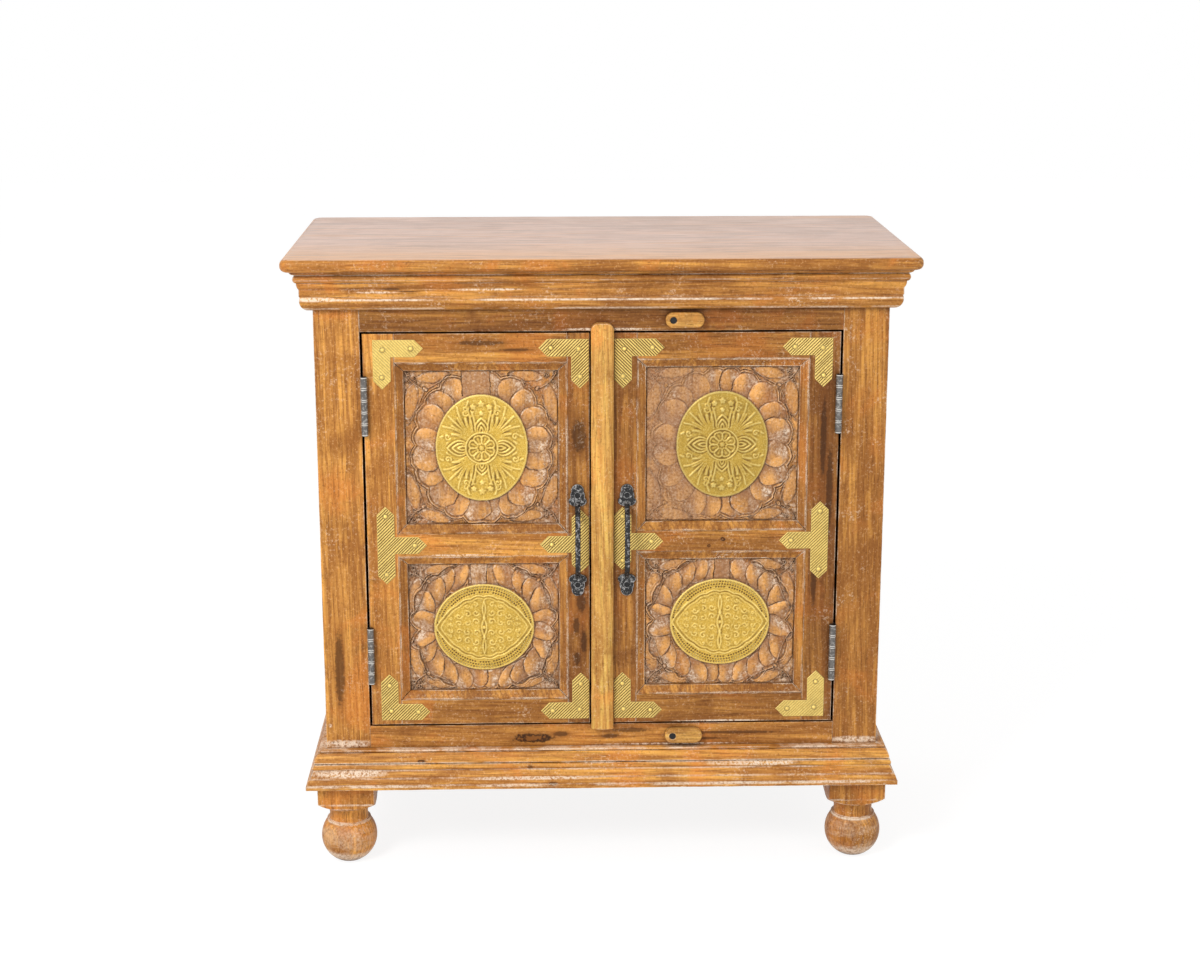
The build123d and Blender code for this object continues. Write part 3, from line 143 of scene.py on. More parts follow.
class MetalSettings(bpy.types.PropertyGroup):
    """Colours and sizes of the metal fittings."""

    brass: colour("Brass", "Colour of the brass", (0.67, 0.42, 0.06))
    plate: colour("Plate brass", "Colour of the paler brass of the plates and nails", (0.85, 0.61, 0.165))
    # Bright brass is also the colour of painted highlights on edges and ridges.
    bright: colour("Bright brass", "Colour of the rubbed edges and ridges of the brass", (0.95, 0.75, 0.26))
    # Tarnish is also the colour of painted shade in hollows and at contacts.
    tarnish: colour("Tarnish", "Colour in the hollows of the brass", (0.13, 0.06, 0.008))
    iron: colour("Iron", "Colour of the forged pulls", (0.02, 0.02, 0.021))
    steel: colour("Steel", "Colour of the hinges", (0.12, 0.112, 0.105))
    emboss: length("Embossing", "Height of the medallions' relief", 1.6 * MM, 0.0001, 0.003)
    step: length("Mesh step", "Spacing of the medallions' mesh", 0.5 * MM, 0.0002, 0.002)
    hatch: length("Hatch spacing", "Spacing of the lines cut in the brass plates", 3.2 * MM, 0.001, 0.01)
    groove: length("Hatch depth", "Depth of the lines cut in the brass plates", 0.5 * MM, 0.0, 0.0008)


class StageSettings(bpy.types.PropertyGroup):
    """Camera and light."""

    lens: bpy.props.FloatProperty(
        name="Lens", description="Focal length in millimetres", default=63.95, min=10.0, max=300.0
    )
    key: bpy.props.FloatProperty(
        name="Key light", description="Power of the main light in watts", default=72.0, min=0.0, max=1000.0
    )
    sky: bpy.props.FloatProperty(
        name="Surroundings", description="Strength of the light from all round",
        default=0.64, min=0.0, max=5.0,
    )


def wood():
    """The wood settings of the scene."""
    return bpy.context.scene.cabinet_wood


def metal():
    """The metal settings of the scene."""
    return bpy.context.scene.cabinet_metal


# ---------------------------------------------------------------- material building
class Tree:
    """Adds and links the nodes of one material, or of the world."""

    def __init__(self, owner):
        self.owner = owner
        owner.use_nodes = True
        self.nodes = owner.node_tree.nodes
        self.links = owner.node_tree.links

    def add(self, kind, inputs=None, **settings):
        """One node. An input is a number, a colour, or the output socket that feeds it."""
        node = self.nodes.new(kind)
        for key, value in settings.items():
            setattr(node, key, value)
        for key, value in (inputs or {}).items():
            if isinstance(value, bpy.types.NodeSocket):
                self.links.new(value, node.inputs[key])
            else:
                node.inputs[key].default_value = value
        return node

    def math(self, operation, a, b=0.0):
        """The result of a maths node."""
        return self.add("ShaderNodeMath", {0: a, 1: b}, operation=operation).outputs[0]

    def times(self, a, b):
        """The product of two values."""
        return self.math("MULTIPLY", a, b)

    def away(self, value, middle):
        """How far a value is from a middle, either way."""
        return self.math("ABSOLUTE", self.math("SUBTRACT", value, middle))

    def mix(self, factor, a, b):
        """A colour between a and b."""
        a, b = (c if isinstance(c, bpy.types.NodeSocket) else (*c, 1.0) for c in (a, b))
        return self.add("ShaderNodeMix", {0: factor, 6: a, 7: b}, data_type="RGBA").outputs[2]

    def ramp(self, value, low, high, bottom=0.0, top=1.0):
        """Value carried from the range low..high to bottom..top, with soft ends."""
        inputs = {"Value": value, "From Min": low, "From Max": high, "To Min": bottom, "To Max": top}
        return self.add("ShaderNodeMapRange", inputs, interpolation_type="SMOOTHSTEP").outputs[0]

    def coats(self, base, *coats):
        """A colour under others. A coat is the five arguments of ramp, for how thick it is, and a colour."""
        for *ramped, over in coats:
            base = self.mix(self.ramp(*ramped), base, over)
        return base

    def noise(self, vector, scale, detail=4.0, roughness=0.55, distortion=0.0):
        """The value of a noise texture."""
        inputs = {"Vector": vector, "Scale": scale, "Detail": detail, "Roughness": roughness}
        inputs["Distortion"] = distortion
        return self.add("ShaderNodeTexNoise", inputs).outputs["Fac"]

    def attribute(self, name):
        """A value stored on the mesh."""
        return self.add("ShaderNodeAttribute", attribute_name=name).outputs["Fac"]

    def place(self, scale=(1, 1, 1), shift=(0, 0, 0)):
        """Object coordinates, stretched and shifted."""
        point = self.add("ShaderNodeTexCoord").outputs["Object"]
        return self.add("ShaderNodeMapping", {"Vector": point, "Scale": scale, "Location": shift}).outputs[0]

    def split(self, vector=None):
        """The X, Y and Z of a vector, which is the point's object coordinates unless one is given."""
        if vector is None:
            vector = self.add("ShaderNodeTexCoord").outputs["Object"]
        return self.add("ShaderNodeSeparateXYZ", {0: vector}).outputs

    def openness(self, distance):
        """1 in the open, and less in hollows and corners narrower than a distance."""
        return self.add("ShaderNodeAmbientOcclusion", {"Distance": distance}, samples=8).outputs["AO"]

    def worn_edge(self, radius, low, high):
        """1 where a face turns sharply within a radius, and 0 where it is flat."""
        rounded = self.add("ShaderNodeBevel", {"Radius": radius}, samples=6).outputs[0]
        facing = self.add("ShaderNodeNewGeometry").outputs["Normal"]
        turn = self.add("ShaderNodeVectorMath", {0: rounded, 1: facing}, operation="DOT_PRODUCT")
        return self.ramp(turn.outputs["Value"], low, high, 1.0, 0.0)

    def oval(self, x, z, half_x, half_z, ragged):
        """Squared distance from the middle of a ragged oval on the front, which is 1 at its rim."""
        point = self.split()
        across = self.math("DIVIDE", self.math("SUBTRACT", point[0], x), half_x)
        upward = self.math("DIVIDE", self.math("SUBTRACT", point[2], z), half_z)
        ring = self.math("ADD", self.math("POWER", across, 2.0), self.math("POWER", upward, 2.0))
        return self.math("ADD", ring, self.times(self.math("SUBTRACT", ragged, 0.5), 2.4))

    def seen(self):
        """1 for what is seen straight or in a mirror, and 0 for the light that falls on things."""
        path = self.add("ShaderNodeLightPath").outputs
        return self.math("MAXIMUM", path["Is Camera Ray"], path["Is Glossy Ray"])

    def finish(self, base, roughness, height, distance, strength=0.6, metallic=0.0, mirror=0.5):
        """Connects the surface. mirror is how strongly it reflects, and height is bumped by a distance."""
        surface = self.nodes["Principled BSDF"].inputs
        surface["Specular IOR Level"].default_value = mirror
        surface["Metallic"].default_value = metallic
        self.links.new(base, surface["Base Color"])
        self.links.new(roughness, surface["Roughness"])
        bump = self.add("ShaderNodeBump", {"Height": height, "Strength": strength, "Distance": distance})
        self.links.new(bump.outputs[0], surface["Normal"])
        return self.owner


def blend_colours(a, b, t):
    """A colour t of the way from a to b."""
    return tuple(p + (q - p) * t for p, q in zip(a, b))


def tinted(c, factors, most=1.0):
    """A colour whose red, green and blue are multiplied one by one, up to most."""
    return tuple(min(most, x * k) for x, k in zip(c, factors))


def scaled(c, factor):
    """A colour a number of times as bright."""
    return tinted(c, (factor, factor, factor))


def wood_material(
    node, grain, tone, seed, average=None, wear=1.0, gloss=0.42, lines=(), top=None, carved=False
):
    """Worn wood, with the node's own knots and chips. tone runs from 0, brown, to 1, honey.

    average is a colour in place of that tone, gloss is how rough the polish is, and lines are pale worn lines
    (height, half their width, amount), in metres. top is a second, paler colour for faces that look up,
    partly the waxed wood and partly a painted reflection.
    """
    settings = wood()
    average = average or blend_colours(tuple(settings.dark), tuple(settings.light), tone)
    wash = tuple(settings.wash)
    figure = settings.figure
    tree = Tree(bpy.data.materials.new(f"wood_{node}"))
    shift = (seed * 1.37, seed * 0.71, seed * 2.13)
    along = tree.place(GRAIN_STRETCH[grain], shift)
    even = tree.place((1, 1, 1), shift)

    drawn = tree.noise(along, 22.0, distortion=3.0)
    waves = {
        "Vector": along, "Scale": 80.0, "Distortion": 15.0, "Detail": 3.0, "Detail Scale": 0.17,
        "Detail Roughness": 0.6, "Phase Offset": float(seed),
    }
    rings = tree.add("ShaderNodeTexWave", waves, bands_direction="DIAGONAL").outputs["Fac"]
    streaks = tree.noise(along, 120.0, roughness=0.65, distortion=0.6)
    fibres = tree.noise(along, 480.0, 2.0, 0.65)
    clouds = tree.noise(even, 9.0, roughness=0.6, distortion=0.8)
    speckle = tree.noise(even, 300.0, 3.0, 0.75)
    drift = tree.noise(even, 24.0, roughness=0.65)

    bright = tinted(average, (1.5, 1.6, 1.45), 0.95)
    brown = tinted(average, (0.5, 0.4, 0.34))
    deep = tinted(average, (0.2, 0.13, 0.1))
    base = tree.coats(
        blend_colours(average, brown, figure),
        (drawn, 0.38, 0.6, 0.0, 1.0, average),
        (drawn, 0.5, 0.68, 0.0, figure, bright),
        (rings, 0.45, 0.95, 0.0, 0.65 * figure, brown),
        (streaks, 0.5, 0.68, 0.0, 0.6 * figure, brown),
        (streaks, 0.32, 0.46, 0.55 * figure, 0.0, bright),
        (clouds, 0.34, 0.5, 0.6, 0.0, tinted(average, (1.05, 0.78, 0.6))),
        (clouds, 0.5, 0.66, 0.0, 0.75, brown),
        (fibres, 0.54, 0.7, 0.0, 0.5, deep),
        (fibres, 0.32, 0.44, 0.3, 0.0, bright),
        (speckle, 0.55, 0.7, 0.0, 0.4, blend_colours(bright, wash, 0.3)),
        (speckle, 0.32, 0.44, 0.45, 0.0, deep),
    )
    # Partly painted reflection: faces that look up take the paler top colour, which grows brighter towards
    # the front edge.
    if top:
        upward = tree.split(tree.add("ShaderNodeNewGeometry").outputs["Normal"])[2]
        depth = tree.split()[1]
        upper = tree.coats(
            scaled(top, 0.92),
            (clouds, 0.36, 0.62, 0.0, 1.0, scaled(top, 1.08)),
            (drawn, 0.5, 0.7, 0.0, 0.5, blend_colours(top, bright, 0.6)),
            (depth, -0.235, -0.04, 0.55, 0.0, blend_colours(top, bright, 0.75)),
            (streaks, 0.5, 0.64, 0.0, 0.6, scaled(top, 0.6)),
            (rings, 0.6, 0.95, 0.0, 0.25, scaled(top, 0.7)),
            (fibres, 0.52, 0.66, 0.0, 0.3, scaled(top, 0.6)),
            (speckle, 0.56, 0.7, 0.0, 0.4, scaled(top, 1.3)),
        )
        base = tree.coats(base, (upward, 0.8, 0.97, 0.0, 1.0, upper))

    for *knot, light_heart in KNOTS.get(node, ()):
        ring = tree.oval(*knot, tree.noise(even, 210.0, 2.0))
        core = 0.97 if light_heart else 0.6
        base = tree.coats(
            base, (ring, 0.3, 5.0, 0.6, 0.0, brown), (ring, 0.6, 1.7, core, 0.0, scaled(deep, 0.25))
        )
        if light_heart:
            base = tree.coats(base, (ring, 0.1, 0.7, 0.8, 0.0, brown))

    # Painted shade: hollows and corners found by ambient occlusion are darkened towards deep brown.
    base = tree.coats(base, (tree.openness(0.014), 0.2, 0.85, 0.72, 0.0, scaled(deep, 0.6)))
    edge = tree.times(tree.worn_edge(0.0018, 0.93, 0.995), tree.ramp(drift, 0.38, 0.58))
    edge = tree.times(edge, tree.ramp(speckle, 0.34, 0.54, 0.25, 1.0))
    base = tree.mix(tree.times(edge, min(1.0, settings.wear * wear)), base, wash)
    if lines:
        height = tree.split()[2]
        broken = tree.ramp(tree.noise(tree.place((0.3, 0.3, 1), shift), 42.0, roughness=0.7), 0.4, 0.56)
        for z, half, amount in lines:
            line = tree.times(tree.ramp(tree.away(height, z), 0.3 * half, half, amount, 0.0), broken)
            line = tree.times(line, tree.ramp(speckle, 0.36, 0.56, 0.3, 1.0))
            base = tree.mix(line, base, wash)
    for chip in CHIPS.get(node, ()):
        spot = tree.ramp(tree.oval(*chip, drift), 0.2, 1.6, 0.9, 0.0)
        base = tree.mix(tree.times(spot, tree.ramp(speckle, 0.4, 0.56, 0.1, 1.0)), base, wash)
    dust = tree.times(tree.ramp(drift, 0.5, 0.68), tree.ramp(speckle, 0.52, 0.66))
    base = tree.mix(tree.times(dust, 0.42 * wear), base, wash)

    if carved:
        carving = bpy.context.scene.cabinet_carving
        low = tuple(carving.low)
        # Carving colours: glow gives rubbed orange and painted highlights, shade gives brown tone and painted
        # shade, wash gives whitewash and pale painted highlights, and the last dark coat is soiling and
        # painted shade.
        base = tree.mix(tree.attribute("glow"), base, tuple(carving.high))
        base = tree.mix(tree.attribute("shade"), base, low)
        base = tree.coats(
            base, (streaks, 0.5, 0.66, 0.0, 0.5, low), (speckle, 0.34, 0.45, 0.45, 0.0, scaled(low, 0.6))
        )
        paint = tree.times(tree.attribute("wash"), tree.ramp(speckle, 0.4, 0.6, 0.2, 1.0))
        base = tree.mix(paint, base, wash)
        base = tree.mix(tree.attribute("dirt"), base, scaled(low, 0.3))

    rough = tree.ramp(fibres, 0.3, 0.7, gloss - 0.06, gloss + 0.14)
    height = tree.math("ADD", fibres, tree.times(speckle, 0.6))
    return tree.finish(base, rough, height, 0.3 * MM, mirror=0.2)


def brass_material(name, seed, glow=1.0, brass=None):
    """Aged brass. The mesh stores how dark each hollow is, with tarnish and painted shade, and how bright
    each ridge is, with rubbed brass and painted highlights.
    """
    settings = metal()
    tree = Tree(bpy.data.materials.new(name))
    even = tree.place((1, 1, 1), (seed, seed * 0.3, seed * 0.7))
    spots = tree.noise(even, 38.0, 5.0, 0.65)
    grains = tree.noise(even, 480.0, 3.0, 0.7)
    brass = scaled(brass or tuple(settings.brass), glow)
    bright = scaled(tuple(settings.bright), glow)
    tarnish = tuple(settings.tarnish)
    base = tree.coats(
        brass,
        (spots, 0.42, 0.68, 0.0, 0.6, scaled(brass, 0.68)),
        (grains, 0.5, 0.66, 0.0, 0.5, bright),
        (grains, 0.34, 0.47, 0.5, 0.0, scaled(brass, 0.5)),
    )
    # Rubbing and painted highlights on the ridges, then tarnish and painted shade in the hollows.
    base = tree.mix(tree.attribute("shine"), base, bright)
    base = tree.mix(tree.attribute("dirt"), base, tarnish)
    # Painted shade: tarnish colour where ambient occlusion finds hollows and contacts, such as round the
    # nails.
    base = tree.coats(base, (tree.openness(0.005), 0.35, 0.92, 0.9, 0.0, tarnish))
    # Painted highlight: pale brass along sharp edges.
    edge = tree.times(tree.worn_edge(0.0009, 0.88, 0.99), tree.ramp(spots, 0.35, 0.55, 0.4, 1.0))
    base = tree.mix(tree.times(edge, 0.75), base, bright)
    rough = tree.ramp(spots, 0.35, 0.7, 0.4, 0.56)
    return tree.finish(base, rough, grains, 0.15 * MM, strength=0.5, metallic=0.3, mirror=0.35)


def iron_material(name, dark, worn, roughness, metallic, lump=0.6, rubbed=0.5, joints=()):
    """Dark metal, lighter on its edges and in spots, as rubbed metal and painted highlights.

    lump is the height of its bumps in millimetres, and joints are the heights of the gaps between knuckles,
    each drawn dark with a pale band of painted highlight beside it.
    """
    tree = Tree(bpy.data.materials.new(name))
    even = tree.place()
    lumps = tree.noise(even, 120.0, roughness=0.6)
    spots = tree.noise(even, 260.0, 3.0, 0.7)
    grains = tree.noise(even, 900.0, 2.0)
    # Rubbing and painted highlights: the worn grey on sharp edges and in spots.
    edge = tree.times(tree.worn_edge(0.0014, 0.9, 0.99), tree.ramp(lumps, 0.36, 0.55))
    base = tree.coats(
        dark, (lumps, 0.4, 0.7, 0.0, 0.5, scaled(dark, 1.9)), (spots, 0.5, 0.66, 0.0, rubbed, worn)
    )
    base = tree.mix(tree.times(edge, 0.85), base, worn)
    if joints:
        height = tree.split()[2]
        gap = tree.away(height, joints[0])
        for z in joints[1:]:
            gap = tree.math("MINIMUM", gap, tree.away(height, z))
        # Painted highlight: a pale band on the knuckle ends round each dark joint line.
        base = tree.coats(
            base,
            (gap, 0.0012, 0.0022, 0.9, 0.0, scaled(worn, 1.3)),
            (gap, 0.0003, 0.0009, 1.0, 0.0, scaled(dark, 0.2)),
        )
    height = tree.math("ADD", lumps, tree.times(grains, 0.2))
    rough = tree.ramp(grains, 0.3, 0.7, roughness - 0.06, roughness + 0.1)
    return tree.finish(base, rough, height, lump * MM, metallic=metallic)


# ---------------------------------------------------------------- mesh building
def linked_object(name, data):
    """An object of the scene that holds a mesh, a lamp or a camera."""
    holder = bpy.data.objects.new(name, data)
    bpy.context.scene.collection.objects.link(holder)
    return holder


def new_piece(node, mesh, material):
    """An object that rides on a node's body and stands for the node. It is named after its mesh."""
    mesh.materials.append(material)
    piece = linked_object(mesh.name, mesh)
    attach(piece, BODY_OF[node])
    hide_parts(node)
    return piece


def new_mesh(name, shape, values=None, smooth_below=None):
    """A mesh made from a bmesh, with values stored on its points.

    Edges that turn less than smooth_below, in degrees, are shaded smooth.
    """
    mesh = bpy.data.meshes.new(name)
    shape.to_mesh(mesh)
    shape.free()
    for key, field in (values or {}).items():
        mesh.attributes.new(key, "FLOAT", "POINT").data.foreach_set("value", field)
    if smooth_below:
        mesh.polygons.foreach_set("use_smooth", [True] * len(mesh.polygons))
        mesh.set_sharp_from_angle(angle=math.radians(smooth_below))
    return mesh


def node_bmesh(node):
    """A welded copy of a node's mesh, with its flat faces whole again."""
    shape = bmesh.new()
    shape.from_mesh(frame["nodes"][node].data)
    bmesh.ops.remove_doubles(shape, verts=shape.verts, dist=WELD)
    bmesh.ops.dissolve_limit(
        shape, angle_limit=math.radians(0.5), verts=shape.verts, edges=shape.edges, delimit={"NORMAL"}
    )
    return shape


def sharp_edges(shape, degrees):
    """Edges where two faces meet at more than an angle."""
    limit = math.radians(degrees)
    return [e for e in shape.edges if len(e.link_faces) == 2 and e.calc_face_angle(0.0) > limit]


def spans(points):
    """The lowest and the highest place of some points on each axis."""
    return [(min(v.co[i] for v in points), max(v.co[i] for v in points)) for i in range(3)]


def cut_across(shape, axis, step):
    """Cuts a mesh square to an axis every step, so that wear can bend its long edges."""
    low, high = spans(shape.verts)[axis]
    count = int((high - low) / step)
    normal = Vector([1.0 if i == axis else 0.0 for i in range(3)])
    for n in range(1, count):
        bmesh.ops.bisect_plane(
            shape,
            geom=shape.verts[:] + shape.edges[:] + shape.faces[:],
            plane_co=normal * (low + (high - low) * n / count),
            plane_no=normal,
        )


def islands(shape):
    """Lists of the points of each loose part of a mesh."""
    seen, groups = set(), []
    for start in shape.verts:
        if start in seen:
            continue
        stack, members = [start], []
        seen.add(start)
        while stack:
            v = stack.pop()
            members.append(v)
            for other in (e.other_vert(v) for e in v.link_edges):
                if other not in seen:
                    seen.add(other)
                    stack.append(other)
        groups.append(members)
    return groups


def unevenness(point, seed):
    """A smooth number from about -1 to 1 for a point, in two sizes of wave."""
    p = Vector(point) + Vector((seed * 3.1, seed * 1.7, seed * 2.3))
    return 0.65 * noise.noise(p * 35.0) + 0.35 * noise.noise(p * 120.0)


def worn_piece(node, material, seed, edge, dent=None, step=0.012, sharpness=28.0, crossed=False):
    """Stands for a wooden node: its edges are rounded and its long edges are no longer quite straight.

    Wear bends it every step. crossed is for a node with strips that lie level and strips that stand.
    """
    dent = wood().dent if dent is None else dent
    shape = node_bmesh(node)
    low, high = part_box(node)
    extent = high - low
    if edge:
        bmesh.ops.bevel(
            shape, geom=sharp_edges(shape, sharpness), offset=edge, offset_type="OFFSET", segments=2,
            profile=0.6, affect="EDGES", clamp_overlap=True,
        )
    axis = max(range(3), key=lambda i: extent[i])
    cut_across(shape, axis, step)
    if crossed:
        cut_across(shape, 0 if axis == 2 else 2, step)
    shape.normal_update()
    moves = []
    for v in shape.verts:
        rim = max((e.calc_face_angle(0.0) for e in v.link_edges if len(e.link_faces) == 2), default=0.0)
        weight = 1.0 if rim > RIM_ANGLE else FLAT_WEAR
        moves.append(v.normal * (dent * weight * (unevenness(v.co, seed) - 0.3)))
    lowest = low - Vector((PROUD, PROUD, min(PROUD, low.z)))
    highest = high + Vector((PROUD, PROUD, PROUD))
    for v, move in zip(shape.verts, moves):
        moved = v.co + move
        for i in range(3):
            v.co[i] = min(max(moved[i], lowest[i]), highest[i])
    return new_piece(node, new_mesh(f"{node}_worn", shape, smooth_below=40), material)


def wooden_piece(node, grain, tone, seed, edge, step=0.012, sharpness=28.0, **looks):
    """A worn piece of wood. edge is the rounding of its edges in millimetres."""
    material = wood_material(node, grain, tone, seed, **looks)
    return worn_piece(node, material, seed, edge * MM, step=step, sharpness=sharpness)


def keep_node(node, material):
    """Shows a node as it is, in a material of this file."""
    shown = frame["nodes"][node]
    shown.data.materials.clear()
    shown.data.materials.append(material)


# ---------------------------------------------------------------- relief: heights on a grid, in millimetres
class Relief:
    """A grid of heights over a rectangle, drawn on with strokes. X runs right and Z up from its centre."""

    def __init__(self, half_width, half_height, step):
        self.columns = int(round(2 * half_width / step)) + 1
        self.rows = int(round(2 * half_height / step)) + 1
        self.x = np.linspace(-half_width, half_width, self.columns)
        self.z = np.linspace(-half_height, half_height, self.rows)
        self.X, self.Z = np.meshgrid(self.x, self.z)
        self.height = np.zeros_like(self.X)
        self.step = step

    def window(self, x_low, x_high, z_low, z_high):
        """The part of the grid inside a rectangle."""
        c0, c1 = np.searchsorted(self.x, (x_low, x_high))
        r0, r1 = np.searchsorted(self.z, (z_low, z_high))
        return slice(r0, r1), slice(c0, c1)

    def stroke(self, target, points, width, rise):
        """Draws a rounded ridge along points. width may differ per point."""
        widths = np.broadcast_to(np.asarray(width, float), (len(points),))
        for (x1, z1), (x2, z2), w1, w2 in zip(points, points[1:], widths, widths[1:]):
            reach = 2.2 * max(w1, w2)
            win = self.window(
                min(x1, x2) - reach, max(x1, x2) + reach, min(z1, z2) - reach, max(z1, z2) + reach
            )
            gx, gz = self.X[win], self.Z[win]
            dx, dz = x2 - x1, z2 - z1
            t = np.clip(((gx - x1) * dx + (gz - z1) * dz) / max(dx * dx + dz * dz, 1e-9), 0, 1)
            away = np.hypot(gx - x1 - t * dx, gz - z1 - t * dz)
            made = rise * np.exp(-((away / (w1 + (w2 - w1) * t)) ** 2))
            target[win] = np.maximum(target[win], made)

    def spot(self, target, x, z, radius, rise):
        """Draws a dome, or a pit where rise is negative."""
        win = self.window(x - radius, x + radius, z - radius, z + radius)
        inside = 1 - (np.hypot(self.X[win] - x, self.Z[win] - z) / radius) ** 2
        target[win] += rise * np.sqrt(np.clip(inside, 0, 1))

    def clear(self, target, x, z, radius):
        """Flattens a round patch."""
        target *= soft(np.hypot(self.X - x, self.Z - z), 0.8 * radius, radius)

    def blurred(self, field, radius):
        """A field with detail finer than a radius taken out."""
        reach = max(1, int(round(radius / self.step)))
        size = 2 * reach + 1
        for axis in (0, 0, 1, 1):
            margins = [(0, 0), (0, 0)]
            margins[axis] = (reach + 1, reach)
            total = np.cumsum(np.pad(field, margins, "edge"), axis)
            n = field.shape[axis]
            field = (np.take(total, range(size, size + n), axis) - np.take(total, range(n), axis)) / size
        return field

    def patchy(self, seed, scale):
        """A smooth random field from about -1 to 1, from sums of waves about a scale long."""
        rng = np.random.default_rng(seed)
        total = np.zeros_like(self.X)
        waves = 9
        for _ in range(waves):
            angle, phase = rng.uniform(0, 2 * np.pi, 2)
            rate = rng.uniform(0.6, 1.7) / scale
            total += np.sin((self.X * np.cos(angle) + self.Z * np.sin(angle)) * rate * 2 * np.pi + phase)
        return total / (waves / 2)


def soft(value, low, high):
    """0 below low, 1 above high, and smooth between."""
    t = np.clip((value - low) / (high - low), 0, 1)
    return t * t * (3 - 2 * t)


def spiral(x, z, radius, turns, start, way=1):
    """Points of a curl that winds in to its centre."""
    t = np.linspace(0, 1, 26)
    r = radius * (1 - 0.85 * t)
    a = start + way * turns * 2 * np.pi * t
    return [(x + p * np.cos(q), z + p * np.sin(q)) for p, q in zip(r, a)]


def ellipse(half_width, half_height):
    """Points round an ellipse."""
    return [(half_width * np.cos(q), half_height * np.sin(q)) for q in np.linspace(0, 2 * np.pi, 90)]


def curve(*points):
    """A smooth line near its points: a quadratic or cubic curve."""
    t = np.linspace(0, 1, CURVE_POINTS)[:, None]
    p = [np.array(q, float) for q in points]
    if len(p) == 3:
        line = (1 - t) ** 2 * p[0] + 2 * t * (1 - t) * p[1] + t**2 * p[2]
    else:
        line = (1 - t) ** 3 * p[0] + 3 * t * (1 - t) ** 2 * p[1] + 3 * t**2 * (1 - t) * p[2] + t**3 * p[3]
    return [tuple(q) for q in line]


def taper(start, end):
    """Widths along a curve."""
    return np.linspace(start, end, CURVE_POINTS)


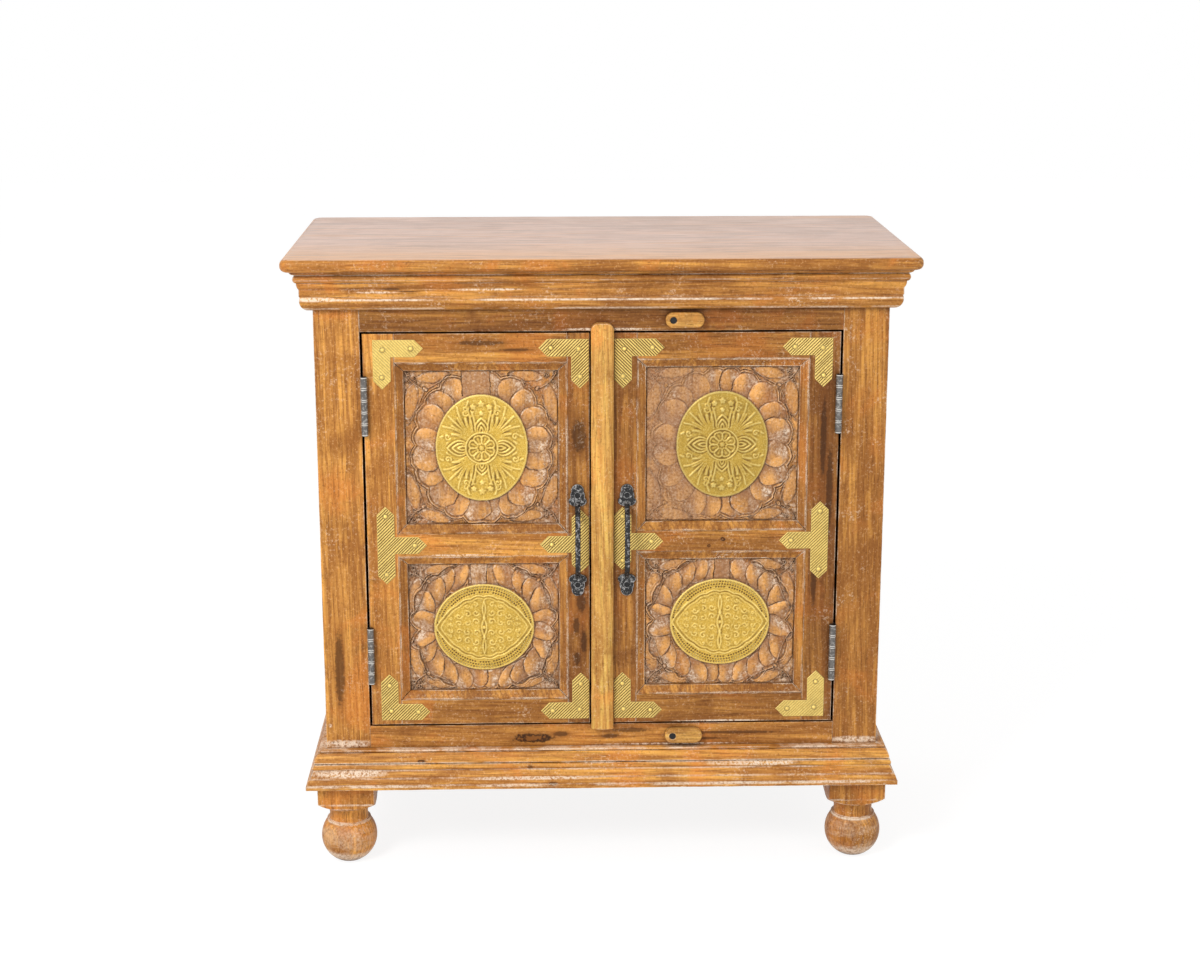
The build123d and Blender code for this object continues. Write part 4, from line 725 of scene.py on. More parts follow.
class Carving(Relief):
    """A carved board: heights below its face, and where it is whitewashed or given pale painted highlights,
    rubbed or painted lit, brown or in painted shade, and black as soiling and painted shade.
    """

    def __init__(self, half_width, half_height, settings, seed):
        super().__init__(half_width, half_height, settings.step / MM)
        self.depth = settings.depth / MM
        self.rng = np.random.default_rng(seed)
        self.bent_x, self.bent_z = (
            places + 1.4 * self.patchy(seed + n, 60.0) + 0.7 * self.patchy(seed + 8 + n, 17.0)
            for n, places in enumerate((self.X, self.Z))
        )
        self.wash, self.glow, self.shade, self.dirt = (np.zeros_like(self.X) for _ in range(4))
        self.broken = 0.2 + 0.8 * soft(self.patchy(seed + 7, 13.0), -0.5, 0.6)
        self.mottle = 0.2 + 0.8 * soft(self.grains(1.3), -0.6, 0.9)
        self.beyond = np.full_like(self.X, 99.0)

    def grains(self, radius):
        """Random mottling of a size, with a spread of about 1."""
        field = self.blurred(self.rng.uniform(-1, 1, self.X.shape), radius)
        return field / field.std()

    def more(self, name, amount):
        """Raises a field, such as wash or dirt, to an amount where it is below it."""
        setattr(self, name, np.maximum(getattr(self, name), amount))

    def put(self, where, **fields):
        """Gives fields new values inside a shape."""
        for name, value in fields.items():
            setattr(self, name, np.where(where, value, getattr(self, name)))

    def leaf(self, x, z, angle, long, wide, rise=1.0, dished=0.0, flank=1, point=2.0):
        """Paints a rounded or pointed leaf over what is there.

        angle is the way its tip points and point how round it is. The leaf sinks by a share, dished, on one
        flank, and then it belongs to the wreath.
        """
        c, d = np.cos(angle), np.sin(angle)
        along = ((self.bent_x - x) * c + (self.bent_z - z) * d) / long
        aside = (-(self.bent_x - x) * d + (self.bent_z - z) * c) / wide * flank
        q = np.abs(along) ** point + aside**2
        outside = (np.sqrt(q) - 1) * np.sqrt(long * wide)
        rim = (outside > 0) & (outside < 1.1)
        drawn = self.rng.uniform(0.5, 1.0) * self.broken
        self.height[rim] = np.minimum(self.height[rim], -0.85 * self.depth)
        # Painted shade: the cut round the leaf is darkened.
        self.dirt[rim] = np.maximum(self.dirt[rim], drawn[rim])
        self.wash[rim] *= 0.6
        inside = outside <= 0
        dome = np.clip(1 - q, 0, 1) ** 0.42
        tilt = 1 - dished * soft(-aside, -0.55, 0.75)
        tilt *= 1 - 0.5 * dished * soft(-along, 0.1, 0.95)
        self.put(inside, height=-self.depth + self.depth * rise * dome * tilt)
        if dished:
            cup = soft(-aside, -0.3, 0.5) * soft(1 - q, 0.0, 0.25) * soft(along, -1.3, 0.3)
            white = cup * self.rng.choice((0.3, 0.75, 1.0)) * (0.4 + 0.6 * self.mottle)
            rubbed = soft(aside, -0.5, 0.3) * soft(along, -0.7, 0.3)
            self.beyond = np.minimum(self.beyond, outside)
        else:
            white = 0.3 * soft(-dome, -0.6, -0.2) * self.mottle
            rubbed = 0.7 * soft(dome, 0.3, 0.8)
        # crest is a painted highlight: a pale line just inside the rim, stored with the whitewash.
        crest = np.exp(-(((outside + 1.2) / 0.7) ** 2)) * 0.9 * (1.25 - self.broken)
        # glow is rubbing and painted highlight on the raised flank or top; shade is painted shade on the
        # rest, deepest on the covered flank; the foot of the rim is darkened as painted shade.
        self.put(
            inside,
            wash=np.maximum(white, crest),
            glow=rubbed * self.rng.uniform(0.5, 1.0),
            shade=(1 - rubbed) * (1 - white) * self.rng.uniform(0.35, 0.9),
            dirt=0.6 * drawn * soft(outside, -0.8, 0.0),
        )

    def line(self, points, width, top=0.5, wash=0.8):
        """Raises a thin ridge to a depth of top, and whitewashes it, which also stands for a painted
        highlight; the grooves at its sides get painted shade.
        """
        drawn, side = (np.zeros_like(self.height) for _ in range(2))
        self.stroke(drawn, points, width, 1.0)
        self.stroke(side, points, np.asarray(width, float) * 2.1, 1.0)
        edge = np.clip(side - drawn * 1.4, 0, 1)
        self.height = self.height * (1 - drawn) - top * drawn - 0.35 * edge
        self.wash = np.maximum(self.wash * (1 - drawn), wash * drawn)
        self.glow *= 1 - drawn
        self.dirt = np.maximum(self.dirt * (1 - drawn), 0.6 * soft(edge, 0.3, 0.8))

    def pit(self, x, z, radius):
        """Sinks a small hole and blackens it as painted shade."""
        hole = soft(-np.hypot(self.X - x, self.Z - z) / radius, -1.1, -0.7)
        self.height -= 0.8 * hole
        self.more("dirt", 0.95 * hole)

    def wreath(self, a, b, band_x, band_z, lobes, narrow):
        """Leaning lobes in a band round an oval. narrow makes them slimmer and lean more."""
        rng = self.rng
        middle_x, middle_z = a + band_x / 2, b + band_z / 2
        count = lobes + round(2 * narrow)
        spacing = np.pi * (middle_x + middle_z) / 2 / count
        order = []
        for sx in (-1, 1):
            for n in range(count):
                at = np.pi * (n + 0.5 + rng.uniform(-0.16, 0.16)) / count
                order.append((abs(at - np.pi / 2), sx, at))
        for from_side, sx, at in sorted(order, reverse=True):
            upper = 1 if at > np.pi / 2 else -1
            lean = upper * (rng.uniform(0.5, 0.85) + 0.35 * narrow)
            lean *= min(1, from_side / 0.3)
            lean *= min(1, (np.pi / 2 - from_side) / 0.45)
            out = np.arctan2(-np.cos(at) * middle_x, np.sin(at) * middle_z)
            band = band_x * np.sin(at) ** 2 + band_z * np.cos(at) ** 2
            long = (0.68 + 0.08 * narrow) * band * rng.uniform(0.9, 1.06)
            wide = (0.66 - 0.04 * narrow) * spacing * rng.uniform(0.85, 1.2)
            centre = band - long * np.cos(lean) + rng.uniform(-1.0, 0.4)
            x = sx * (a * np.sin(at) + centre * np.cos(out))
            z = -b * np.cos(at) + centre * np.sin(out)
            angle = out + lean if sx > 0 else np.pi - (out + lean)
            self.leaf(x, z, angle, long, wide, dished=0.85, flank=sx * upper)

    def corner_stems(self, cx, cz, sx, sz):
        """A node with three stems, curls and pits in the corner at cx, cz."""
        rng = self.rng
        inner = rng.uniform(25.0, 29.0)
        nx, nz = cx - sx * inner, cz - sz * inner * 0.95

        def places(*offsets):
            """Points given by their distances in from the corner."""
            return [(cx - sx * x, cz - sz * z) for x, z in offsets]

        self.line(curve(*places((2, 2), (8, 18)), (nx, nz)), 0.7, wash=0.6)
        for stem in (((17, 52), (15, 66), (4, 78)), ((44, 19), (56, 14), (66, 3))):
            self.line(curve((nx, nz), *places(*stem)), taper(0.75, 0.4), wash=0.5)
        self.leaf(nx, nz, 0.8 * sx * sz, 3.0, 2.6, rise=0.95)
        self.more("wash", 0.5 * soft(-np.hypot(self.X - nx, self.Z - nz), -3.4, -2.2))
        self.pit(nx, nz, 1.1)
        for _ in range(5):
            x = cx - sx * rng.uniform(4, 22)
            z = cz - sz * rng.uniform(4, 22)
            curl = spiral(x, z, rng.uniform(2.4, 4.0), 1.15, rng.uniform(0, 6.28), rng.choice((-1, 1)))
            self.line(curl, 0.55, top=0.8, wash=rng.uniform(0.25, 0.8))
        for _ in range(4):
            self.pit(cx - sx * rng.uniform(3, 24), cz - sz * rng.uniform(2, 10), rng.uniform(0.5, 1.3))

    def scratches(self, half_width, half_height, a, b):
        """Short pale marks on the ground outside the oval."""
        rng = self.rng
        for _ in range(SCRATCHES):
            x, z = rng.uniform(-1, 1) * half_width, rng.uniform(-1, 1) * half_height
            if np.hypot(x / a, z / b) < 1.1:
                continue
            turn, size = rng.uniform(0, 6.28), rng.uniform(2.0, 8.0)
            dx, dz = size * np.cos(turn), size * np.sin(turn)
            scratch = curve((x, z), (x + dx * 0.5 - dz * 0.2, z + dz * 0.5 + dx * 0.2), (x + dx, z + dz))
            self.line(scratch, taper(0.5, 0.3), top=0.7, wash=rng.uniform(0.3, 0.8))


def carve_panel(half_width, half_height, oval, settings, seed, block, brown_side, chips, narrow):
    """Wreath of leaning lobes round an oval, with a node, a stem, leaves and curls in every corner.

    block is (low, high, whitewash) for the plain block at the middle of its upper edge, or None,
    brown_side is -1 or 1 where that side is browner, chips are spots of bare white ground, and narrow is
    how much narrower and more leaning the lobes are than round ones, from 0 to 1.
    """
    work = Carving(half_width, half_height, settings, seed)
    rng, depth = work.rng, work.depth
    a, b = oval
    band_x = min(settings.reach / MM, half_width - a - 3.0)
    band_z = min(settings.reach / MM, half_height - b - 1.2)
    rough = work.patchy(seed + 2, 12.0)
    patches = work.patchy(seed + 3, 30.0)
    in_corner = soft(np.abs(work.X) / half_width + np.abs(work.Z) / half_height, 1.35, 1.7)
    work.height = -0.62 * depth + 0.3 * rough - 0.25 * depth * in_corner
    work.glow = 0.75 * (1 - in_corner) * soft(patches, -0.6, 0.6)
    work.wash = in_corner * soft(-patches + 0.35 * rough, -0.8, 0.6) * 0.75
    work.shade = 0.4 * soft(-rough, 0.0, 0.9)

    for sx, sz in CORNERS:
        cx, cz = sx * half_width, sz * half_height
        for upright, out, away, long, wide in ((True, 9.5, 46.0, 28.0, 10.5), (False, 9.0, 42.0, 24.0, 9.0)):
            out += rng.uniform(-1, 1)
            away += rng.uniform(-3, 3)
            turn = rng.uniform(0.12, 0.3)
            x, z = (cx - sx * out, cz - sz * away) if upright else (cx - sx * away, cz - sz * out)
            main, small = np.cos(turn), np.sin(turn)
            way = (sx * small, -sz * main) if upright else (-sx * main, sz * small)
            work.leaf(x, z, np.arctan2(way[1], way[0]), long, wide, 0.8, point=1.5)
    work.wreath(a, b, band_x, band_z, settings.lobes, narrow)
    if block:
        low, high, white = block
        above = work.Z > b - 3
        inside = (work.bent_x > low) & (work.bent_x < high) & above
        near = (work.bent_x > low - 1) & (work.bent_x < high + 1) & above & ~inside
        work.put(inside | near, beyond=-9.0)
        # Painted shade: the narrow cut round the block is darkened.
        work.put(near, dirt=0.8, height=-0.9 * depth)
        work.put(inside, height=-0.42 * depth + 0.35 * rough)
        work.put(inside, wash=white, glow=0.12, shade=0.75 - 0.6 * white, dirt=0.0)

    edge = np.minimum(half_width - np.abs(work.X), half_height - np.abs(work.Z))
    free = (work.beyond > 0.3) & (edge > 1.0)
    # Pale ridges round the wreath are whitewash and painted highlight; the grooves inside them are darkened
    # as painted shade.
    for away, wide, share_white in ((2.6, 0.55, 0.8), (5.6, 0.45, 0.35)):
        ridge = np.exp(-(((work.beyond - away) / wide) ** 2)) * free * soft(patches + 0.6 * rough, -1.1, -0.3)
        work.put(ridge > 0.05, height=work.height * (1 - ridge) - 0.35 * ridge)
        work.wash = np.maximum(work.wash * (1 - ridge), share_white * ridge)
        groove = np.exp(-(((work.beyond - away + 1.4) / 0.5) ** 2)) * free
        work.more("dirt", 0.5 * groove * work.broken)
        work.height -= 0.4 * groove

    for sx, sz in CORNERS:
        work.corner_stems(sx * half_width, sz * half_height, sx, sz)
    work.scratches(half_width, half_height, a, b)

    for x, z, radius in chips:
        spot = soft(-np.hypot((work.X - x) / 2.2, work.Z - z) / radius, -1.1, -0.6)
        work.more("wash", spot)
        work.dirt *= 1 - spot
    brown = soft(brown_side * work.X, -15, 45) if brown_side else np.zeros_like(work.X)
    work.glow *= 1 - 0.35 * brown
    work.dirt *= 1 - 0.5 * brown
    work.wash *= 1 - 0.35 * brown
    work.more("shade", 0.35 * brown * (1 - work.wash))
    work.height = work.height * (1 - 0.5 * brown) - 0.25 * depth * brown

    stipple = 0.6 * work.grains(0.7)
    fine = work.patchy(seed + 5, 5.0)
    work.height += 0.16 * stipple + 0.12 * work.grains(1.6) + 0.25 * stipple * in_corner
    oval_out = (np.hypot(work.X / a, work.Z / b) - 1) * (a + b) / 2
    # Painted shadow: a dark ring on the ground round the medallion's edge.
    work.more("dirt", 0.7 * soft(-oval_out, -2.4, -0.6))
    seat = soft(oval_out, 0.0, 1.5)
    work.height = np.minimum(work.height * seat - 0.3 * (1 - seat), 0.4)
    border = soft(edge, 0.0, 1.6)
    work.height = work.height * border - depth * 0.75 * (1 - border)
    # Painted shadow of the moulding: the ground is darkened along the panel's border.
    work.more("dirt", 0.6 * soft(-edge, -1.8, -0.3))

    broad = work.blurred(work.height, 1.8)
    work.wash = np.clip(work.wash * soft(patches + 0.5 * fine, -1.3, 0.2), 0, 0.95)
    work.more("wash", 0.5 * soft(broad - work.height, 0.35, 0.9) * soft(fine, -0.2, 0.6))
    work.more("wash", 0.14 * work.mottle + 0.35 * soft(work.grains(0.9), 0.9, 2.2))
    work.wash *= 1 - 0.35 * brown
    work.more("wash", 0.15 * brown)
    # Painted shade in the creases of the carving, and painted highlight by keeping glow to its convex parts.
    work.more("dirt", 0.8 * soft(work.blurred(work.height, 1.0) - work.height, 0.35, 1.0))
    work.glow = np.clip(work.glow * soft(work.height - broad, -0.5, 0.15), 0, 1)
    work.shade = np.clip(work.shade, 0, 1)
    work.dirt = np.clip(work.dirt * (0.75 + 0.35 * fine), 0, 0.92)
    return work


def turned(points, angle):
    """Points turned about the middle."""
    c, d = np.cos(angle), np.sin(angle)
    return [(p * c - q * d, p * d + q * c) for p, q in points]


def rosette_medallion(a, b, settings, seed):
    """Round flower in a ring, four pointed petals, and fans of feathered strokes to the rim."""
    relief = Relief(a, b, settings.step / MM)
    radius = np.hypot(relief.X, relief.Z)
    lines = np.zeros_like(relief.X)
    ring = 22.3
    relief.stroke(lines, ellipse(0.97 * a, 0.97 * b), 0.7, 0.5)

    for sx, sz in CORNERS:
        for k in range(-5, 6):
            end, bend, start = (np.radians(45 + spread * k) for spread in (7.5, 2.6, 4.2))
            rim = (0.92 if k % 2 == 0 else 0.76) / np.hypot(np.cos(end) / a, np.sin(end) / b)
            bow = ring + 0.6 * (rim - ring)
            polar = ((ring + 2.5, start), (bow, bend), (rim, end))
            path = curve(*((sx * r * np.cos(q), sz * r * np.sin(q)) for r, q in polar))
            relief.stroke(lines, path, taper(0.7, 1.3), 0.9)
        for angle, r, size in ((19, 50, 4.6), (66, 55, 4.4)):
            q = np.radians(angle)
            x, z = sx * r * np.cos(q), sz * r * np.sin(q)
            relief.clear(lines, x, z, size + 2.2)
            relief.stroke(lines, spiral(x, z, size, 1.1, 0.5 * sx, sx * sz), 0.95, 1.0)

    petals = (
        ((25.0, 18.0, 11.0), 11.0), ((20.5, 14.0, 8.0), 9.5), ((26.0, 19.0, 11.0), 11.0),
        ((17.0, 11.5, 7.0), 9.0),
    )
    for quarter, (tips, half) in enumerate(petals):
        angle = quarter * np.pi / 2
        relief.clear(lines, *turned([(ring + 0.42 * tips[0], 0)], angle)[0], 0.66 * tips[0])
        for tip, wide in zip(tips, (half, 0.62 * half, 0.24 * half)):
            for way in (-1, 1):
                bend = (ring + 0.45 * tip, way * wide * 1.5)
                local = curve((ring, way * wide * 0.7), bend, (ring + tip, 0))
                relief.stroke(lines, turned(local, angle), 0.85, 1.05)
        if quarter % 2:
            for reach, wide in ((31.0, 14.0), (36.0, 21.0)):
                for way in (-1, 1):
                    bend = (ring + 0.5 * reach, way * wide * 0.62)
                    local = curve((ring + 1.5, way * wide * 0.6), bend, (ring + reach, way * wide))
                    relief.stroke(lines, turned(local, angle), taper(0.8, 1.4), 1.0)

    for sz in (-1, 1):
        for x, z, size in ((0, 63, 4.6), (-11.5, 59, 4.2), (11.5, 59, 4.2), (0, 50, 3.4)):
            relief.clear(lines, x, sz * z, size + 2.0)
            for k in range(5):
                q = k * 1.257 + 0.3
                aside, up = size * 0.62 * np.cos(q), size * 0.62 * np.sin(q)
                relief.spot(lines, x + aside, sz * z + up, 0.45 * size, 0.9)
            relief.spot(lines, x, sz * z, 0.4 * size, 0.9)
        for way in (-1, 1):
            relief.stroke(lines, spiral(way * 22, sz * 57, 4.4, 1.1, 0.4, way * sz), 0.95, 0.95)

    lines *= 1 - soft(-radius, -ring - 1.6, -ring + 0.6)
    for k in range(8):
        angle = np.radians(22.5 + 45 * k)
        for way in (-1, 1):
            lobe = curve((5.6, way * 0.4), (11.0, way * 8.2), (19.5, way * 6.6), (18.4, 0))
            relief.stroke(lines, turned(lobe, angle), 0.8, 1.0)
        relief.stroke(lines, turned([(8.5, 0), (14.5, 0)], angle), 0.65, 0.6)
    lines = np.maximum(lines, np.sqrt(np.clip(1 - (radius / 4.0) ** 2, 0, 1)))
    relief.stroke(lines, ellipse(ring, ring), 1.15, 1.15)
    return embossed(relief, a, b, lines, settings, seed)


def scroll_medallion(a, b, settings, seed):
    """Rows of punched dots round a cusped border, with scrolls on a central stem."""
    relief = Relief(a, b, settings.step / MM)
    lines, pits = (np.zeros_like(relief.X) for _ in range(2))
    relief.stroke(lines, ellipse(0.975 * a, 0.975 * b), 0.7, 0.5)
    tip = 0.955 * a

    def border(u, inset):
        """Height of the cusped border at a share u of the way to its tips."""
        cusp = 2.4 * np.abs(np.sin(3.5 * np.pi * u)) * (1 - u**2)
        return (0.71 * b - inset) * np.clip(1 - np.abs(u) ** 2.0, 0, 1) ** 0.85 + cusp

    u = np.linspace(-1, 1, 90)
    for inset, width, rise in ((-3.2, 0.65, 0.6), (0.0, 0.9, 0.95), (4.2, 0.75, 0.75)):
        for sz in (-1, 1):
            path = list(zip(u * (tip - 1.6 * max(0.0, inset)), sz * border(u, inset)))
            relief.stroke(lines, path, width, rise)

    for level, share_round in enumerate((0.935, 0.875, 0.815)):
        count = int(np.pi * (a + b) * share_round / 3.7)
        for n in range(count):
            q = 2 * np.pi * (n + 0.5 * (level % 2)) / count
            x, z = share_round * a * np.cos(q), share_round * b * np.sin(q)
            if abs(x) < tip and abs(z) > border(x / tip, -3.2) + 1.5:
                relief.spot(pits, x, z, 1.3, -1.0)

    for way in (-1, 1):
        for z_low, z_high, half in ((-40, -16, 4.0), (-13, 13, 7.0), (16, 40, 4.0)):
            lens = curve((0, z_low), (way * half, (z_low + z_high) / 2), (0, z_high))
            relief.stroke(lines, lens, 0.9, 0.95)
    for z in (-14.5, 0, 14.5):
        relief.spot(lines, 0, z, 2.6, 0.95)
    for sx, sz in CORNERS:
        for x, z, size, turn in (
            (11, 8.5, 5.0, 0.2), (24, 7.0, 4.6, 2.6), (36, 6.0, 4.2, 0.4), (47, 5.0, 3.4, 2.6),
            (11.5, 22, 5.0, 3.6), (23.5, 20, 5.2, 1.2), (36, 17, 4.6, 3.2), (12, 34, 3.8, 1.0),
            (24, 32, 3.4, 3.0), (48, 13, 2.6, 1.4),
        ):
            turn = turn if sx * sz > 0 else np.pi - turn
            relief.stroke(lines, spiral(sx * x, sz * z, size, 1.0, turn, sx * sz), 0.75, 0.85)
            leaf = ((x + size, z), (x + size + 2, z - 3), (x + 7, z - 5))
            relief.stroke(lines, curve(*((sx * p, sz * q) for p, q in leaf)), taper(1.0, 0.4), 0.55)
    embossed(relief, a, b, lines, settings, seed)
    relief.height += 0.7 * pits
    # Tarnish and painted shade darken the punched dots, which lose their painted highlights.
    relief.dirt = np.clip(relief.dirt + 1.3 * soft(-pits, 0.02, 0.3), 0, 1.0)
    relief.shine *= 1 - soft(-pits, 0.02, 0.2)
    return relief


def embossed(relief, a, b, lines, settings, seed):
    """Turns drawn lines into a pressed oval sheet with a low dome, and finds its hollows and its ridges."""
    rng = np.random.default_rng(seed)
    oval = np.hypot(relief.X / a, relief.Z / b)
    lines = relief.blurred(np.minimum(lines, 1.15), 0.3)
    stipple = relief.blurred(rng.uniform(-1, 1, lines.shape), 0.6) * 1.8
    uneven = relief.patchy(seed, 24.0)
    worn = 0.82 + 0.2 * uneven
    dome = 0.7 + 0.9 * np.clip(1 - oval**2, 0, 1)
    relief.height = dome + lines * worn * settings.emboss / MM + 0.16 * stipple + 0.1 * uneven
    relief.height -= 0.8 * soft(oval, 0.975, 1.0)
    relief.inside = oval <= 1.0
    broad = relief.blurred(lines, 2.2)
    # Hollows get tarnish and painted shade; ridges and the rim get rubbed brass and painted highlights.
    relief.dirt = np.clip(soft(broad - lines, 0.03, 0.34) * (0.85 - 0.25 * uneven) + 0.15 * stipple, 0, 0.9)
    relief.shine = np.clip(soft(lines - broad, 0.05, 0.42) * worn + 0.5 * soft(oval, 0.96, 0.985), 0, 1)
    return relief


def relief_mesh(name, relief, centre, face_y, back_y, fields, board=None):
    """A closed plate whose face has the relief's heights, and whose points store the relief's named fields.

    board is a mesh that is joined on behind it.
    """
    rows, columns = relief.height.shape
    inside = getattr(relief, "inside", np.ones_like(relief.height, bool))
    places = (centre.x + relief.X * MM, face_y - relief.height * MM, centre.z + relief.Z * MM)
    front = np.stack(places, -1).reshape(-1, 3)
    quad = inside[:-1, :-1] & inside[1:, :-1] & inside[:-1, 1:] & inside[1:, 1:]
    index = np.arange(rows * columns).reshape(rows, columns)
    r, c = np.nonzero(quad)
    faces = np.stack([index[r, c], index[r, c + 1], index[r + 1, c + 1], index[r + 1, c]], -1)
    used = np.unique(faces)
    new_index = np.full(rows * columns, -1)
    new_index[used] = np.arange(len(used))
    sheet = bpy.data.meshes.new("sheet")
    sheet.from_pydata(front[used].tolist(), [], new_index[faces].tolist())
    shape = bmesh.new()
    shape.from_mesh(sheet)
    bpy.data.meshes.remove(sheet)
    made = bmesh.ops.extrude_edge_only(shape, edges=[e for e in shape.edges if e.is_boundary])
    for v in made["geom"]:
        if isinstance(v, bmesh.types.BMVert):
            v.co.y = back_y
    bmesh.ops.edgeloop_fill(shape, edges=[e for e in shape.edges if e.is_boundary])
    bmesh.ops.recalc_face_normals(shape, faces=shape.faces)
    if board:
        shape.from_mesh(board)
    values = {}
    for key in fields:
        values[key] = np.zeros(len(shape.verts), np.float32)
        values[key][: len(used)] = getattr(relief, key).reshape(-1)[used]
    return new_mesh(name, shape, values, smooth_below=70)


# ---------------------------------------------------------------- brass plates
def marked(shape, amounts):
    """The amount that goes with each point of a shape, which is 0 for a point that has none."""
    return np.array([amounts.get(v, 0.0) for v in shape.verts], np.float32)


def hatched_plates(node, material):
    """Stands for a door's brass plates, chamfered, with sloping lines cut into the face of each."""
    settings = metal()
    whole = node_bmesh(node)
    pitch = settings.hatch
    front_y = spans(whole.verts)[1][0]
    outline = [
        e for e in sharp_edges(whole, 60.0)
        if e.calc_length() > SHORTEST_RIM and all(v.co.y < front_y + LEVEL for v in e.verts)
    ]
    bmesh.ops.bevel(whole, geom=outline, offset=CHAMFER, segments=1, affect="EDGES")
    cut_lines = {}

    def middle(members):
        """The middle of a plate, in tenths of a millimetre."""
        (left, right), _, (bottom, top) = spans(members)
        return round((left + right) * 5000), round((bottom + top) * 5000)

    for members in islands(whole):
        centre = sum((v.co for v in members), Vector()) / len(members)
        falling = centre.z > 0.7 and (centre.x < -0.2 or 0 < centre.x < 0.2)
        lean = Vector((1, 0, 1 if falling else -1)).normalized()
        cut = 1.0
        for x, z, share_left in RUBBED_PLATES:
            if abs(centre.x - x) < 0.06 and abs(centre.z - z) < 0.06:
                cut = share_left
        reach = [v.co.dot(lean) for v in members]
        geometry = members + list({e for v in members for e in v.link_edges})
        geometry += list({f for v in members for f in v.link_faces})
        places = []
        for n in range(math.floor(min(reach) / pitch), math.ceil(max(reach) / pitch) + 1):
            places.append((n + 0.3 * noise.noise(Vector((n * 0.37, centre.x * 9, centre.z * 9)))) * pitch)
            for offset in GROOVE_EDGES:
                origin = lean * (places[-1] + offset * pitch)
                made = bmesh.ops.bisect_plane(whole, geom=geometry, plane_co=origin, plane_no=lean, dist=1e-7)
                geometry = made["geom"]
        cut_lines[middle(members)] = (lean, places, cut)
    sunk = {}
    for members in islands(whole):
        lean, places, cut = cut_lines[middle(members)]
        for v in members:
            off = v.co.dot(lean)
            if v.co.y < front_y + LEVEL and any(abs(off - place) < GROOVE_HALF * pitch for place in places):
                v.co.y += settings.groove * cut * (0.65 + 0.5 * noise.noise(v.co * 60.0))
                sunk[v] = cut
    # Rubbing and painted highlight: the chamfer round each plate is made bright.
    rims = {v: RIM_SHINE for v in whole.verts if v.co.y > front_y + 0.55 * MM and v not in sunk}
    values = {"dirt": marked(whole, sunk), "shine": marked(whole, rims)}
    return new_piece(node, new_mesh(f"{node}_hatched", whole, values), material)


def collared_nails(node, material):
    """Stands for a door's nails, with a dark collar of soiling and painted shade round the foot of each head.
    """
    whole = node_bmesh(node)
    grime_and_shade = {}
    for members in islands(whole):
        (left, right), (front, _), (bottom, top) = spans(members)
        x, z = (left + right) / 2, (bottom + top) / 2
        seat = front + NAIL_HEAD
        rings = []
        for radius, rise in COLLAR:
            r, y = radius * MM, seat - rise * MM
            turns = [2 * math.pi * n / COLLAR_SIDES for n in range(COLLAR_SIDES)]
            rings.append([whole.verts.new((x + r * math.cos(t), y, z + r * math.sin(t))) for t in turns])
            # Soiling and painted shade: the collar's points are marked dark.
            grime_and_shade.update((v, 1.0) for v in rings[-1])
        for ring, following in zip(rings, rings[1:] + rings[:1]):
            for n in range(COLLAR_SIDES):
                whole.faces.new((ring[n], ring[n - 1], following[n - 1], following[n]))
    bmesh.ops.recalc_face_normals(whole, faces=whole.faces)
    return new_piece(node, new_mesh(f"{node}_collared", whole, {"dirt": marked(whole, grime_and_shade)}), material)


# ---------------------------------------------------------------- tables of pieces and looks
CARCASS = (
    # node, grain, tone, wear, rounding of its edges in millimetres
    ("front_left_post", "Z", 0.76, 0.8, 1.4),
    ("front_right_post", "Z", 0.58, 0.8, 1.4),
    ("rear_left_post", "Z", 0.55, 0.7, 1.4),
    ("rear_right_post", "Z", 0.5, 0.7, 1.4),
    ("front_top_rail", "X", 0.28, 0.5, 0.8),
    ("front_bottom_rail", "X", 0.66, 0.6, 0.8),
    ("left_side_rails", "Y", 0.5, 0.6, 0.8),
    ("right_side_rails", "Y", 0.46, 0.6, 0.8),
)
KNOTS = {  # dark ovals: x, z, half width, half height in metres, and 1 where the heart is light
    "front_bottom_rail": (
        (-0.1, 0.194, 0.026, 0.0065, 1), (-0.06, 0.2, 0.009, 0.0034, 0), (0.043, 0.205, 0.024, 0.0032, 0),
        (0.012, 0.196, 0.012, 0.003, 0), (0.19, 0.2, 0.06, 0.002, 0), (0.15, 0.191, 0.03, 0.0016, 0),
    ),
    "right_door_mid_rail": ((0.172, 0.4925, 0.0032, 0.0028, 1), (0.152, 0.483, 0.0022, 0.002, 1)),
    "left_meeting_stile": (
        (-0.033, 0.645, 0.009, 0.022, 0), (-0.03, 0.4, 0.006, 0.012, 0), (-0.037, 0.365, 0.004, 0.012, 0),
        (-0.026, 0.34, 0.004, 0.014, 0), (-0.036, 0.315, 0.004, 0.01, 0), (-0.028, 0.43, 0.008, 0.006, 0),
    ),
    "right_hinge_stile": (
        (0.312, 0.64, 0.004, 0.05, 0), (0.322, 0.56, 0.004, 0.06, 0), (0.303, 0.45, 0.004, 0.05, 0),
    ),
    "plinth_front": (
        (-0.105, 0.157, 0.0035, 0.003, 0), (-0.072, 0.1345, 0.006, 0.0025, 0),
        (-0.262, 0.166, 0.005, 0.003, 1),
    ),
    "cornice_front": ((-0.29, 0.8565, 0.013, 0.0016, 0), (-0.268, 0.853, 0.012, 0.0009, 0)),
    "front_left_post": ((-0.39, 0.19, 0.003, 0.0016, 0), (-0.378, 0.3, 0.006, 0.05, 0)),
    "left_door_top_rail": ((-0.17, 0.778, 0.03, 0.003, 0), (-0.12, 0.768, 0.02, 0.002, 0)),
}
